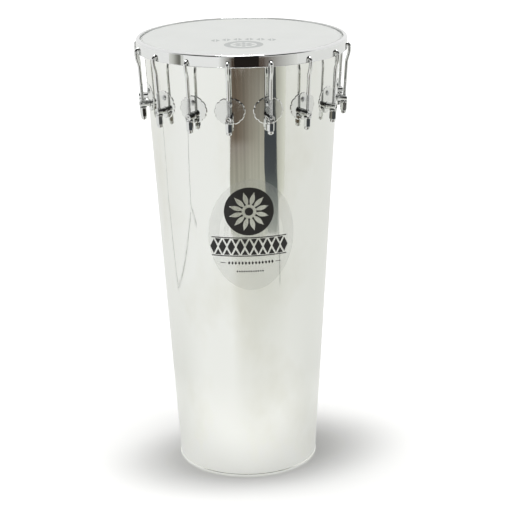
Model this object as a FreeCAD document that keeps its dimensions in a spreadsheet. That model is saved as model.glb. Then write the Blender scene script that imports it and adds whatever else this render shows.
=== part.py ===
# Timbal drum: a tall conical aluminium shell with a hooked hoop and sixteen tension rods.
#
# The origin is the centre of the base, +Z points up to the head and -Y is the front.
# Every length is in millimetres. The driving sizes stand in a spreadsheet, the worked-out
# sizes stand below them as formulas, and each piece is bound to both.

import FreeCAD, Part
import math
import os
import Sketcher

doc = FreeCAD.newDocument("timbal")

# Driving sizes

SIZES = {
    # The shell: a straight cone of sheet with a hem at the base and a rolled playing edge
    "shell_height": "806",
    "shell_base_radius": "129.2",
    "shell_top_radius": "177.3",
    "shell_wall": "1.5",
    "edge_roll_radius": "3",
    "hem_stand": "1.2",
    "hem_height": "5",
    "hem_round": "1",
    # The hoop: a pressed steel band with an inward flange, a corner radius and a lower bead
    "hoop_rise": "2",
    "hoop_stand_off": "12.7",
    "hoop_skirt": "4.775",
    "hoop_metal": "1.5",
    "hoop_corner_radius": "3.5",
    "hoop_flange_width": "7.2",
    "hoop_bead_radius": "0.5",
    "hook_under_channel": "1.625",
    "hook_play": "0.55",
    # The head: a film over the rolled edge, its rim set in a channel under the hoop's flange
    "film_thickness": "0.4",
    "film_seat": "0.3",
    "film_flat_margin": "0.3",
    "channel_gap": "0.4",
    "channel_width": "7",
    "channel_height": "7.2",
    "channel_lip": "1.5",
    "channel_floor": "1.2",
    "channel_lip_drop": "3.9",
    "film_play": "0.1",
    # The ring of lugs
    "lug_count": "16",
    "first_hook_turn": "-75",
    "lug_drop": "109.5",
    "fit_gap": "0.05",
    "body_gap": "0.3",
    # The plate of each lug: a thin scalloped rosette bent to the shell
    "plate_thickness": "1.6",
    "plate_half_width": "27",
    "plate_below_post": "7",
    "plate_above_dome": "7.3",
    "plate_scallop": "1.5",
    "plate_lobes": "12",
    "lobe_round_share": "1.2",
    "plate_pad": "5",
    # The post: a turned barrel square to the shell, with a cross hole for the rod
    "rod_offset": "14",
    "post_radius": "6",
    "post_chamfer": "0.9",
    "post_end_wall": "1.925",
    "post_end_rim": "1.5",
    "post_recess_depth": "1.2",
    "post_foot_flare": "0.8",
    "post_foot_height": "1.4",
    "post_flat_depth": "0.8",
    "post_thread_wall": "0.525",
    "rod_play": "0.4",
    # The screw that holds the post, and its washer
    "post_screw_radius": "2.5",
    "post_screw_head_flats": "8",
    "post_screw_head_height": "4",
    "post_screw_tip_gap": "0.7",
    "post_washer_radius": "6",
    "small_washer_thickness": "1",
    "screw_play": "0.3",
    "wall_seat": "0.35",
    # The dome-headed bolt above the post, its washer and its nut
    "dome_bolt_rise": "22.5",
    "dome_bolt_radius": "3",
    "dome_radius": "5",
    "dome_height": "2",
    "dome_rim": "0.4",
    "bolt_washer_radius": "7",
    "bolt_nut_flats": "10",
    "bolt_nut_height": "5",
    "bolt_tail": "1.5",
    # The hooked tension rod
    "rod_radius": "3.175",
    "hook_gap": "0.45",
    "jog_length": "25",
    "jog_margin": "1",
    "bend_radius": "5",
    "hook_tip_length": "5.6",
    "rod_tail": "1.5",
    # The long tuning nut and the washer above it
    "nut_flats": "11.1",
    "nut_length": "21",
    "nut_collar_radius": "6.4",
    "nut_collar_height": "1.4",
    "nut_neck_radius": "4.4",
    "nut_neck_height": "1.1",
    "nut_end_radius": "5.1",
    "nut_end_height": "4",
    "nut_chamfer": "0.7",
    "rod_washer_radius": "6.8",
    "rod_washer_thickness": "1",
    # The clear oval film on the front of the shell
    "decal_drop": "326",
    "decal_half_width": "76",
    "decal_half_height": "104",
    "decal_turn": "4.5",
    "decal_thickness": "0.2",
    "decal_gap": "0.15",
    # One overrun for every cut
    "overrun": "6",
}

# Worked-out sizes, as formulas of the driving sizes

DERIVED = {
    "lug_step": "360 / lug_count",
    "lean_slope": "(shell_top_radius - shell_base_radius) / (shell_height - edge_roll_radius)",
    "lean_turn": "atan(lean_slope) / 1deg",
    "lean_sine": "sin(atan(lean_slope))",
    "lean_cosine": "cos(atan(lean_slope))",
    "wall_square": "shell_wall * lean_cosine",
    "edge_roll_height": "shell_height - edge_roll_radius",
    "edge_roll_middle": "shell_top_radius - edge_roll_radius",
    "lug_height": "shell_height - lug_drop",
    "lug_radius": "shell_base_radius + lean_slope * lug_height",
    "hoop_hole_radius": "rod_radius + hook_play",
    "hoop_hole_drop": "hoop_metal + channel_height + hook_under_channel + rod_radius",
    "hoop_height": "hoop_hole_drop + hoop_hole_radius + hoop_skirt",
    "hoop_top": "shell_height + hoop_rise",
    "hoop_bottom": "hoop_top - hoop_height",
    "hoop_radius": "shell_top_radius + hoop_stand_off",
    "hoop_hole_height": "hoop_top - hoop_hole_drop",
    "channel_radius": "hoop_radius - hoop_metal - channel_gap",
    "channel_top": "hoop_top - hoop_metal",
    "channel_inner_radius": "channel_radius - channel_width",
    "slot_inner_radius": "channel_inner_radius + channel_lip",
    "slot_outer_radius": "slot_inner_radius + film_thickness + 2 * film_play",
    "channel_low": "channel_top - channel_height",
    "channel_lip_top": "channel_top - channel_lip_drop",
    "slot_floor": "channel_low + channel_floor",
    "film_low": "slot_floor + film_play",
    "film_under": "shell_height + film_seat",
    "film_bend_radius": "shell_top_radius - film_flat_margin",
    "film_rim_radius": "slot_inner_radius + film_play",
    "film_collar_height": "channel_lip_top + film_thickness + film_play",
    "rod_hole_radius": "rod_radius + rod_play",
    "post_foot_radius": "post_radius + post_foot_flare",
    "post_recess_radius": "post_radius - post_chamfer - post_end_rim",
    "post_flat_drop": "post_radius - post_flat_depth",
    "post_stand": "rod_offset + rod_hole_radius + post_end_wall",
    "post_thread_end": "rod_offset - rod_hole_radius - post_thread_wall",
    "plate_face": "fit_gap + plate_thickness",
    "plate_carries": "post_foot_radius + dome_bolt_rise + dome_radius",
    "plate_half_height": "(plate_below_post + plate_carries + plate_above_dome) / 2",
    "plate_rise": "plate_half_height - post_foot_radius - plate_below_post",
    "plate_lobe_radius": "lobe_round_share * (plate_half_width + plate_half_height) / plate_lobes",
    "post_foot": "plate_face + fit_gap",
    "wall_inside": "-wall_square",
    "washer_face": "wall_inside - wall_seat",
    "washer_back": "washer_face - small_washer_thickness",
    "hook_hole_across": "hoop_radius - lug_radius",
    "hook_hole_above": "hoop_hole_height - lug_height",
    "hook_hole_out": "hook_hole_across * lean_cosine - hook_hole_above * lean_sine",
    "hook_hole_up": "hook_hole_across * lean_sine + hook_hole_above * lean_cosine",
    "hoop_bottom_up": "(hoop_bottom - lug_height) / lean_cosine",
    "wall_radius_at_hoop": "shell_base_radius + lean_slope * hoop_bottom",
    "bead_out": "(hoop_radius + hoop_bead_radius - wall_radius_at_hoop) * lean_cosine",
    "rod_jog": "bead_out + rod_radius + hook_gap - rod_offset",
    "jog_end": "hoop_bottom_up - jog_margin",
    "jog_start": "jog_end - jog_length",
    "jog_radius": "(jog_length * jog_length + rod_jog * rod_jog) / (4 * rod_jog)",
    "bend_back": "bend_radius * (1 + lean_sine)",
    "bend_rise": "bend_radius * lean_cosine",
    "bend_lead": "(rod_offset + rod_jog - bend_back - hook_hole_out) * lean_slope",
    "bend_start": "hook_hole_up + bend_lead - bend_rise",
    "bend_end": "bend_start + bend_rise",
    "rod_washer_top": "-post_flat_drop - fit_gap",
    "rod_washer_bottom": "rod_washer_top - rod_washer_thickness",
    "nut_top": "rod_washer_bottom - body_gap",
    "nut_bottom": "nut_top - nut_length",
    "rod_bottom": "nut_bottom - rod_tail",
    "nut_bore_radius": "rod_radius + fit_gap",
    "nut_corner": "nut_flats / sqrt(3)",
    "decal_height": "shell_height - decal_drop",
    "decal_low": "decal_height - decal_half_height - overrun",
    "decal_high": "decal_height + decal_half_height + overrun",
    "decal_low_radius": "shell_base_radius + lean_slope * decal_low + decal_gap",
    "decal_high_radius": "shell_base_radius + lean_slope * decal_high + decal_gap",
}

sheet = doc.addObject("Spreadsheet::Sheet", "Dim")
row = 0
for name, text in list(SIZES.items()) + [(name, "=" + text) for name, text in DERIVED.items()]:
    row += 1
    sheet.set("A%d" % row, name)
    sheet.set("B%d" % row, text)
    sheet.setAlias("B%d" % row, name)
doc.recompute()

scratch = doc.addObject("Spreadsheet::Sheet", "Scratch")


def bound(formula):
    """The formula with every size written as a reference to the sheet."""
    words = []
    word = ""
    for letter in formula + " ":
        if letter.isalnum() or letter in "_.":
            word += letter
        else:
            words.append("Dim." + word if word in SIZES or word in DERIVED else word)
            words.append(letter)
            word = ""
    return "".join(words).strip()


worked_out = {}


def value(formula):
    """What the formula comes to, kept because many points share one."""
    if formula not in worked_out:
        scratch.set("A1", "=" + bound(formula))
        scratch.recompute()
        found = scratch.get("A1")
        worked_out[formula] = float(getattr(found, "Value", found))
    return worked_out[formula]


def new_body(name):
    body = doc.addObject("PartDesign::Body", name)
    body.Label = name
    body.AllowCompound = True
    return body


def origin_part(body, role):
    return [feature for feature in body.Origin.OriginFeatures if feature.Role == role][0]


def frame_formula(radius, turn, height, lean, roll):
    """A placement at a radius, turn and height, leaned with the wall, rolled to stand up."""
    across = "(%s) * cos((%s) * 1deg)" % (bound(radius), bound(turn))
    along = "(%s) * sin((%s) * 1deg)" % (bound(radius), bound(turn))
    place = "create(<<vector>>; %s; %s; %s)" % (across, along, bound(height))
    rotation = "create(<<rotation>>; %s; %s; %s)" % (bound(turn), bound(lean), roll)
    return "create(<<placement>>; %s; %s)" % (place, rotation)


# The frames that the sketches stand in: x outward and y upward, unless a comment says more.
# The first serves the drum, and also a rod or a nut, which is drawn in its own space.
DRUM_SIDE = frame_formula("0", "0", "0", "0", "90")
LUG_SIDE = frame_formula("lug_radius", "first_hook_turn", "lug_height", "lean_turn", "90")
HOOK_HOLE_SIDE = frame_formula("0", "first_hook_turn", "hoop_hole_height", "0", "90")


def lug_face(out):
    """A frame square to the wall's normal, this far out: x along -Z turned, y sideways."""
    base = frame_formula("lug_radius", "first_hook_turn", "lug_height", "lean_turn", "0")
    tip = "create(<<rotation>>; create(<<vector>>; 0; 1; 0); 90)"
    shift = "create(<<placement>>; create(<<vector>>; %s; 0; 0); %s)" % (bound(out), tip)
    return base + " * " + shift


def rod_face(height):
    """A level frame in a rod's own space, at this height."""
    place = "create(<<vector>>; 0; 0; %s)" % bound(height)
    return "create(<<placement>>; %s; create(<<rotation>>; 0; 0; 0))" % place


def bow(start, end, radius, side):
    """The shorter arc from start to end that turns to that side, and its two end numbers."""
    chord = end - start
    middle = (start + end) * 0.5
    across = FreeCAD.Vector(-chord.y, chord.x, 0).normalize()
    reach = math.sqrt(max(radius ** 2 - chord.Length ** 2 / 4, 0))
    centre = middle + across * (reach if side == "left" else -reach)
    first, last = (start, end) if side == "left" else (end, start)
    angles = [math.atan2(point.y - centre.y, point.x - centre.x) for point in (first, last)]
    if angles[1] < angles[0]:
        angles[1] += 2 * math.pi
    circle = Part.Circle(centre, FreeCAD.Vector(0, 0, 1), radius)
    arc = Part.ArcOfCircle(circle, angles[0], angles[1])
    return arc, ((1, 2) if side == "left" else (2, 1))


def sketch(body, name, frame, outlines, closed=True, axis=None):
    """A sketch of outlines whose points, and arc radii, are formulas.

    A point is (x, y), or (x, y, side, radius) where an arc leads to it from the point before.
    The axis is a construction line through two points.
    """
    drawn = body.newObject("Sketcher::SketchObject", name)
    drawn.setExpression("Placement", frame)

    def pin(edge, end, x, y):
        for kind, formula, straight in (("DistanceX", x, -2), ("DistanceY", y, -1)):
            if formula == "0":
                drawn.addConstraint(Sketcher.Constraint("PointOnObject", edge, end, straight))
                continue
            size = value(formula)
            number = drawn.addConstraint(Sketcher.Constraint(kind, -1, 1, edge, end, size))
            drawn.setExpression("Constraints[%d]" % number, bound(formula))

    for points in outlines:
        spots = [FreeCAD.Vector(value(point[0]), value(point[1]), 0) for point in points]
        edges = []
        for index in range(1, len(points) + (1 if closed else 0)):
            start, end = spots[index - 1], spots[index % len(points)]
            bend = points[index % len(points)][2:]
            if bend:
                shape, ends = bow(start, end, value(bend[1]), bend[0])
            else:
                shape, ends = Part.LineSegment(start, end), (1, 2)
            edges.append((drawn.addGeometry(shape, False), ends, bend))
        for index, (edge, ends, bend) in enumerate(edges):
            if closed or index + 1 < len(edges):
                following, following_ends, _ = edges[(index + 1) % len(edges)]
                drawn.addConstraint(Sketcher.Constraint(
                    "Coincident", edge, ends[1], following, following_ends[0]))
            if bend:
                size = value(bend[1])
                number = drawn.addConstraint(Sketcher.Constraint("Radius", edge, size))
                drawn.setExpression("Constraints[%d]" % number, bound(bend[1]))
            pin(edge, ends[0], *points[index][:2])
        if not closed:
            pin(edges[-1][0], edges[-1][1][1], *points[-1][:2])
    if axis:
        spots = [FreeCAD.Vector(value(point[0]), value(point[1]), 0) for point in axis]
        edge = drawn.addGeometry(Part.LineSegment(*spots), True)
        pin(edge, 1, *axis[0])
        pin(edge, 2, *axis[1])
    doc.recompute()
    return drawn


def round_sketch(body, name, frame, radius):
    """A sketch of one circle about its own origin."""
    drawn = body.newObject("Sketcher::SketchObject", name)
    drawn.setExpression("Placement", frame)
    circle = Part.Circle(FreeCAD.Vector(0, 0, 0), FreeCAD.Vector(0, 0, 1), value(radius))
    edge = drawn.addGeometry(circle, False)
    drawn.addConstraint(Sketcher.Constraint("Coincident", edge, 3, -1, 1))
    number = drawn.addConstraint(Sketcher.Constraint("Radius", edge, value(radius)))
    drawn.setExpression("Constraints[%d]" % number, bound(radius))
    doc.recompute()
    return drawn


def turned(body, name, kind, profile, axis="V_Axis"):
    """A Revolution or a Groove of the profile all the way round one of its axes."""
    feature = body.newObject("PartDesign::" + kind, name)
    feature.Profile = profile
    feature.ReferenceAxis = (profile, [axis])
    feature.Angle = 360
    doc.recompute()
    return feature


def straight(body, name, kind, profile, length, side="One side", backwards=False):
    """A Pad or a Pocket of the profile."""
    feature = body.newObject("PartDesign::" + kind, name)
    feature.Profile = profile
    feature.SideType = side
    feature.Reversed = backwards
    feature.setExpression("Length", bound(length))
    doc.recompute()
    return feature


def round_the_drum(body, name, cuts=None):
    """The cuts, or else the whole piece made so far, repeated once for every lug."""
    pattern = body.newObject("PartDesign::PolarPattern", name)
    if cuts:
        pattern.Originals = cuts
    else:
        pattern.TransformMode = "Whole shape"
    pattern.Axis = (origin_part(body, "Z_Axis"), [""])
    pattern.Angle = 360
    pattern.setExpression("Occurrences", "Dim.lug_count")
    body.Tip = pattern
    doc.recompute()
    return pattern


def rectangle(left, low, right, high):
    return [(left, low), (right, low), (right, high), (left, high)]


def hexagon(flats):
    """Six corners, the flats this far apart."""
    half, short, tall = flats + " / 2", flats + " / sqrt(12)", flats + " / sqrt(3)"
    return [(half, "-" + short), (half, short), ("0", tall),
            ("-" + half, short), ("-" + half, "-" + short), ("0", "-" + tall)]


# The shell, with two screw holes for every lug

shell = new_body("shell")
shell_profile = sketch(shell, "shell_profile", DRUM_SIDE, [[
    ("shell_base_radius - shell_wall", "0"),
    ("shell_base_radius + hem_stand - hem_round", "0"),
    ("shell_base_radius + hem_stand", "hem_round", "left", "hem_round"),
    ("shell_base_radius + hem_stand", "hem_height - hem_round"),
    ("shell_base_radius + lean_slope * hem_height", "hem_height"),
    ("shell_top_radius", "edge_roll_height"),
    ("edge_roll_middle", "shell_height", "left", "edge_roll_radius"),
    ("shell_top_radius - 2 * edge_roll_radius", "edge_roll_height", "left", "edge_roll_radius"),
    ("shell_top_radius - 2 * edge_roll_radius + shell_wall", "edge_roll_height"),
    ("edge_roll_middle", "shell_height - shell_wall", "right", "edge_roll_radius - shell_wall"),
    ("shell_top_radius - shell_wall", "edge_roll_height", "right",
     "edge_roll_radius - shell_wall"),
]])
turned(shell, "shell_wall_turned", "Revolution", shell_profile)
shell_holes = []
for hole_name, rise, screw in (("post", "0", "post_screw_radius"),
                               ("dome", "dome_bolt_rise", "dome_bolt_radius")):
    hole_edge = rise + " + " + screw + " + screw_play"
    profile = sketch(shell, hole_name + "_hole_profile", LUG_SIDE,
                     [rectangle("-overrun", rise, "overrun", hole_edge)],
                     axis=[("0", rise), ("overrun", rise)])
    shell_holes.append(turned(shell, hole_name + "_hole", "Groove", profile, "Axis0"))
round_the_drum(shell, "shell_holes", shell_holes)

# The hoop, with one hole for every hook

counter_hoop = new_body("counter_hoop")
hoop_profile = sketch(counter_hoop, "hoop_profile", DRUM_SIDE, [[
    ("hoop_radius - hoop_metal", "hoop_bottom"),
    ("hoop_radius", "hoop_bottom"),
    ("hoop_radius + hoop_bead_radius", "hoop_bottom + hoop_bead_radius", "left",
     "hoop_bead_radius"),
    ("hoop_radius", "hoop_bottom + 2 * hoop_bead_radius", "left", "hoop_bead_radius"),
    ("hoop_radius", "hoop_top - hoop_corner_radius"),
    ("hoop_radius - hoop_corner_radius", "hoop_top", "left", "hoop_corner_radius"),
    ("hoop_radius - hoop_flange_width", "hoop_top"),
    ("hoop_radius - hoop_flange_width", "hoop_top - hoop_metal"),
    ("hoop_radius - hoop_corner_radius", "hoop_top - hoop_metal"),
    ("hoop_radius - hoop_metal", "hoop_top - hoop_corner_radius", "right",
     "hoop_corner_radius - hoop_metal"),
]])
turned(counter_hoop, "hoop_band", "Revolution", hoop_profile)
hole_profile = sketch(counter_hoop, "hook_hole_profile", HOOK_HOLE_SIDE, [rectangle(
    "hoop_radius - hoop_metal - overrun", "0", "hoop_radius + overrun", "hoop_hole_radius")])
hook_hole = turned(counter_hoop, "hook_hole", "Groove", hole_profile, "H_Axis")
round_the_drum(counter_hoop, "hook_holes", [hook_hole])

# The channel that holds the film's rim

flesh_hoop = new_body("flesh_hoop")
channel_profile = sketch(flesh_hoop, "channel_profile", DRUM_SIDE, [[
    ("channel_inner_radius", "channel_low"),
    ("channel_radius", "channel_low"),
    ("channel_radius", "channel_top - hoop_corner_radius + hoop_metal"),
    ("channel_radius - hoop_corner_radius + hoop_metal", "channel_top", "left",
     "hoop_corner_radius - hoop_metal"),
    ("slot_outer_radius", "channel_top"),
    ("slot_outer_radius", "slot_floor"),
    ("slot_inner_radius", "slot_floor"),
    ("slot_inner_radius", "channel_lip_top"),
    ("channel_inner_radius", "channel_lip_top"),
]])
turned(flesh_hoop, "channel", "Revolution", channel_profile)

# The film of the head, flat over the rolled edge and bent down into its channel

drumhead = new_body("drumhead")
film_profile = sketch(drumhead, "film_profile", DRUM_SIDE, [[
    ("0", "film_under"),
    ("film_bend_radius", "film_under"),
    ("film_rim_radius", "film_collar_height - film_thickness"),
    ("film_rim_radius", "film_low"),
    ("film_rim_radius + film_thickness", "film_low"),
    ("film_rim_radius + film_thickness", "film_collar_height"),
    ("film_bend_radius + film_thickness / 2", "film_under + film_thickness"),
    ("0", "film_under + film_thickness"),
]])
turned(drumhead, "film", "Revolution", film_profile)


def scalloped(lobes):
    """Shallow lobes round an oval plate: each lobe is two arcs from valley to peak to valley."""
    points = []
    for index in range(2 * lobes):
        turn = "(%d * 180 / plate_lobes) * 1deg" % index
        shrink = " - plate_scallop" if index % 2 else ""
        x = "-plate_rise - (plate_half_height%s) * cos(%s)" % (shrink, turn)
        y = "(plate_half_width%s) * sin(%s)" % (shrink, turn)
        points.append((x, y, "right", "plate_lobe_radius"))
    return points


# The plates: a rosette cut to a thin layer that follows the wall

lug_plates = new_body("lug_plates")
plate_profile = sketch(lug_plates, "plate_profile", lug_face("0"),
                       [scalloped(int(value("plate_lobes")))])
straight(lug_plates, "plate_pad", "Pad", plate_profile, "2 * plate_pad", "Symmetric")
for hole_name, rise, screw in (("post", "0", "post_screw_radius"),
                               ("dome", "dome_bolt_rise", "dome_bolt_radius")):
    hole_edge = rise + " + " + screw + " + screw_play"
    profile = sketch(lug_plates, "plate_" + hole_name + "_hole_profile", LUG_SIDE,
                     [rectangle("-overrun", rise, "overrun", hole_edge)],
                     axis=[("0", rise), ("overrun", rise)])
    turned(lug_plates, "plate_" + hole_name + "_hole", "Groove", profile, "Axis0")
plate_low = "plate_rise - plate_half_height - overrun"
plate_high = "plate_rise + plate_half_height + overrun"
drum_axis = [("-lug_radius * lean_cosine", "-lug_radius * lean_sine"),
             ("-lug_radius * lean_cosine - overrun * lean_sine",
              "-lug_radius * lean_sine + overrun * lean_cosine")]
for cut_name, inner, outer in (("inside", "-plate_pad - overrun", "fit_gap"),
                               ("outside", "plate_face", "plate_pad + overrun")):
    profile = sketch(lug_plates, "plate_" + cut_name + "_profile", LUG_SIDE,
                     [rectangle(inner, plate_low, outer, plate_high)], axis=drum_axis)
    turned(lug_plates, "plate_" + cut_name, "Groove", profile, "Axis0")
round_the_drum(lug_plates, "plate_pattern")

# The posts, each with a foot, a threaded blind hole, a recessed end, a cross hole and a flat

lug_posts = new_body("lug_posts")
post_profile = sketch(lug_posts, "post_profile", LUG_SIDE, [[
    ("post_foot", "post_screw_radius + fit_gap"),
    ("post_foot", "post_foot_radius"),
    ("post_foot + post_foot_height", "post_foot_radius"),
    ("post_foot + post_foot_height", "post_radius"),
    ("post_stand - post_chamfer", "post_radius"),
    ("post_stand", "post_radius - post_chamfer"),
    ("post_stand", "post_recess_radius"),
    ("post_stand - post_recess_depth", "post_recess_radius"),
    ("post_stand - post_recess_depth", "0"),
    ("post_thread_end", "0"),
    ("post_thread_end", "post_screw_radius + fit_gap"),
]])
turned(lug_posts, "post_turned", "Revolution", post_profile, "H_Axis")
cross_profile = sketch(lug_posts, "cross_hole_profile", LUG_SIDE, [rectangle(
    "rod_offset", "-post_radius - overrun", "rod_offset + rod_hole_radius",
    "post_radius + overrun")], axis=[("rod_offset", "0"), ("rod_offset", "overrun")])
turned(lug_posts, "cross_hole", "Groove", cross_profile, "Axis0")
flat_profile = sketch(lug_posts, "post_flat_profile", LUG_SIDE, [rectangle(
    "post_foot + post_foot_height", "-post_radius - overrun", "post_stand + overrun",
    "-post_flat_drop")])
straight(lug_posts, "post_flat", "Pocket", flat_profile, "2 * (post_radius + overrun)",
         "Symmetric")
round_the_drum(lug_posts, "post_pattern")

# The screws that hold the posts, with hexagon heads inside the shell

post_screws = new_body("post_screws")
screw_profile = sketch(post_screws, "post_screw_profile", LUG_SIDE, [rectangle(
    "washer_back - fit_gap - post_screw_head_height / 2", "0",
    "post_thread_end - post_screw_tip_gap", "post_screw_radius")])
turned(post_screws, "post_screw_shank", "Revolution", screw_profile, "H_Axis")
head_profile = sketch(post_screws, "post_screw_head_profile",
                      lug_face("washer_back - fit_gap - post_screw_head_height"),
                      [hexagon("post_screw_head_flats")])
straight(post_screws, "post_screw_head", "Pad", head_profile, "post_screw_head_height")
round_the_drum(post_screws, "post_screw_pattern")

# The dome-headed bolts

dome_bolts = new_body("dome_bolts")
bolt_end = "washer_back - fit_gap - bolt_nut_height - bolt_tail"
dome_top = "plate_face + fit_gap + dome_rim + dome_height"
dome_profile = sketch(dome_bolts, "dome_bolt_profile", LUG_SIDE, [[
    (bolt_end, "dome_bolt_rise"),
    (bolt_end, "dome_bolt_rise + dome_bolt_radius"),
    ("plate_face + fit_gap", "dome_bolt_rise + dome_bolt_radius"),
    ("plate_face + fit_gap", "dome_bolt_rise + dome_radius"),
    ("plate_face + fit_gap + dome_rim", "dome_bolt_rise + dome_radius"),
    (dome_top, "dome_bolt_rise", "right",
     "(dome_radius * dome_radius + dome_height * dome_height) / (2 * dome_height)"),
]], axis=[("0", "dome_bolt_rise"), ("overrun", "dome_bolt_rise")])
turned(dome_bolts, "dome_bolt", "Revolution", dome_profile, "Axis0")
round_the_drum(dome_bolts, "dome_bolt_pattern")

# The washers and nuts inside the shell

for washer_name, rise, screw, washer_radius in (
        ("post_washers", "0", "post_screw_radius", "post_washer_radius"),
        ("bolt_washers", "dome_bolt_rise", "dome_bolt_radius", "bolt_washer_radius")):
    washers = new_body(washer_name)
    profile = sketch(washers, washer_name + "_profile", LUG_SIDE, [rectangle(
        "washer_back", rise + " + " + screw + " + fit_gap", "washer_face",
        rise + " + " + washer_radius)], axis=[("0", rise), ("overrun", rise)])
    turned(washers, washer_name + "_ring", "Revolution", profile, "Axis0")
    round_the_drum(washers, washer_name + "_pattern")

bolt_nuts = new_body("bolt_nuts")
nut_face = "washer_back - fit_gap - bolt_nut_height"
raised = [("%s - dome_bolt_rise" % x, y) for x, y in hexagon("bolt_nut_flats")]
bolt_nut_profile = sketch(bolt_nuts, "bolt_nut_profile", lug_face(nut_face), [raised])
straight(bolt_nuts, "bolt_nut", "Pad", bolt_nut_profile, "bolt_nut_height")
bore_profile = sketch(bolt_nuts, "bolt_nut_bore_profile", LUG_SIDE, [rectangle(
    nut_face + " - overrun", "dome_bolt_rise", "washer_back + overrun",
    "dome_bolt_rise + dome_bolt_radius + fit_gap")],
    axis=[("0", "dome_bolt_rise"), ("overrun", "dome_bolt_rise")])
turned(bolt_nuts, "bolt_nut_bore", "Groove", bore_profile, "Axis0")
round_the_drum(bolt_nuts, "bolt_nut_pattern")

# The washers between the posts and the tuning nuts

rod_washers = new_body("rod_washers")
rod_washer_profile = sketch(rod_washers, "rod_washer_profile", LUG_SIDE, [rectangle(
    "rod_offset + rod_hole_radius", "rod_washer_bottom", "rod_offset + rod_washer_radius",
    "rod_washer_top")], axis=[("rod_offset", "0"), ("rod_offset", "overrun")])
turned(rod_washers, "rod_washer", "Revolution", rod_washer_profile, "Axis0")
round_the_drum(rod_washers, "rod_washer_pattern")


def lug_placement(number):
    """Where lug number one, two and so on has its rod: x outward, z up along the rod."""
    turn = "first_hook_turn + %d * lug_step" % number
    out = "lug_radius + rod_offset * lean_cosine"
    height = "lug_height - rod_offset * lean_sine"
    return frame_formula(out, turn, height, "lean_turn", "0")


def make_tension_rod(number):
    """A round rod with an S-shaped jog out past the hoop and a hook turned in through its hole."""
    name = "tension_rod_%02d" % (number + 1)
    rod = new_body(name)
    path = sketch(rod, name + "_path", DRUM_SIDE, [[
        ("0", "rod_bottom"),
        ("0", "jog_start"),
        ("rod_jog / 2", "jog_start + jog_length / 2", "right", "jog_radius"),
        ("rod_jog", "jog_end", "left", "jog_radius"),
        ("rod_jog", "bend_start"),
        ("rod_jog - bend_radius", "bend_start + bend_radius", "left", "bend_radius"),
        ("rod_jog - bend_back", "bend_end", "left", "bend_radius"),
        ("rod_jog - bend_back - hook_tip_length * lean_cosine",
         "bend_end - hook_tip_length * lean_sine"),
    ]], closed=False)
    section = round_sketch(rod, name + "_section", rod_face("rod_bottom"), "rod_radius")
    bar = rod.newObject("PartDesign::AdditivePipe", name + "_bar")
    bar.Profile = section
    bar.Spine = (path, [])
    bar.Mode = "Standard"
    doc.recompute()
    rod.setExpression("Placement", lug_placement(number))
    return rod


def make_tuning_nut(number):
    """A long hexagon nut with a collar, a neck and a round end, open right through."""
    name = "tuning_nut_%02d" % (number + 1)
    nut = new_body(name)
    neck_top = "nut_bottom + nut_end_height + nut_neck_height"
    profile = sketch(nut, name + "_profile", DRUM_SIDE, [[
        ("nut_bore_radius", "nut_bottom"),
        ("nut_end_radius - nut_chamfer", "nut_bottom"),
        ("nut_end_radius", "nut_bottom + nut_chamfer"),
        ("nut_end_radius", "nut_bottom + nut_end_height"),
        ("nut_neck_radius", "nut_bottom + nut_end_height"),
        ("nut_neck_radius", neck_top),
        ("nut_flats / 2", neck_top),
        ("nut_corner", neck_top + " + nut_chamfer"),
        ("nut_corner", "nut_top - nut_collar_height"),
        ("nut_collar_radius", "nut_top - nut_collar_height"),
        ("nut_collar_radius", "nut_top"),
        ("nut_bore_radius", "nut_top"),
    ]])
    turned(nut, name + "_turned", "Revolution", profile)
    around = hexagon("nut_flats")
    waste = sketch(nut, name + "_waste", rod_face("nut_top - nut_collar_height"),
                   [around, rectangle("-nut_flats", "-nut_flats", "nut_flats", "nut_flats")])
    straight(nut, name + "_flats", "Pocket", waste, "nut_length - nut_collar_height + overrun")
    nut.setExpression("Placement", lug_placement(number))
    return nut


tension_rods = [make_tension_rod(number) for number in range(int(value("lug_count")))]
tuning_nuts = [make_tuning_nut(number) for number in range(int(value("lug_count")))]

# The clear oval film on the front: an oval bar cut to a thin layer over the wall

decal_oval = doc.addObject("Part::Ellipse", "decal_oval")
decal_oval.setExpression("MajorRadius", "Dim.decal_half_height")
decal_oval.setExpression("MinorRadius", "Dim.decal_half_width")
decal_oval.setExpression("Placement", (
    "create(<<placement>>; create(<<vector>>; 0; 0; Dim.decal_height);"
    " create(<<rotation>>; Dim.decal_turn; 0; 90))"
    " * create(<<placement>>; create(<<vector>>; 0; 0; 0); create(<<rotation>>; 90; 0; 0))"))
decal_bar = doc.addObject("Part::Extrusion", "decal_bar")
decal_bar.Base = decal_oval
decal_bar.DirMode = "Custom"
decal_bar.setExpression("Dir", (
    "create(<<vector>>; sin(Dim.decal_turn * 1deg); -cos(Dim.decal_turn * 1deg); 0)"))
decal_bar.Solid = True
decal_bar.setExpression("LengthFwd", "Dim.shell_top_radius + Dim.overrun")
decal_cones = []
for cone_name, extra in (("decal_outer_cone", "decal_thickness"), ("decal_inner_cone", "0")):
    cone = doc.addObject("Part::Cone", cone_name)
    cone.setExpression("Radius1", bound("decal_low_radius + " + extra))
    cone.setExpression("Radius2", bound("decal_high_radius + " + extra))
    cone.setExpression("Height", bound("decal_high - decal_low"))
    cone.setExpression("Placement.Base.z", bound("decal_low"))
    decal_cones.append(cone)
decal_layer = doc.addObject("Part::Cut", "decal_layer")
decal_layer.Base, decal_layer.Tool = decal_cones
shell_decal = doc.addObject("Part::Common", "shell_decal")
shell_decal.Base = decal_bar
shell_decal.Tool = decal_layer
shell_decal.Label = "shell_decal"
doc.recompute()

# Check every object, then write one file for every piece or group of like pieces

for made in doc.Objects:
    if "Invalid" in made.State or "Error" in made.State:
        raise RuntimeError("%s did not build: %s" % (made.Name, made.State))

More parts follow.
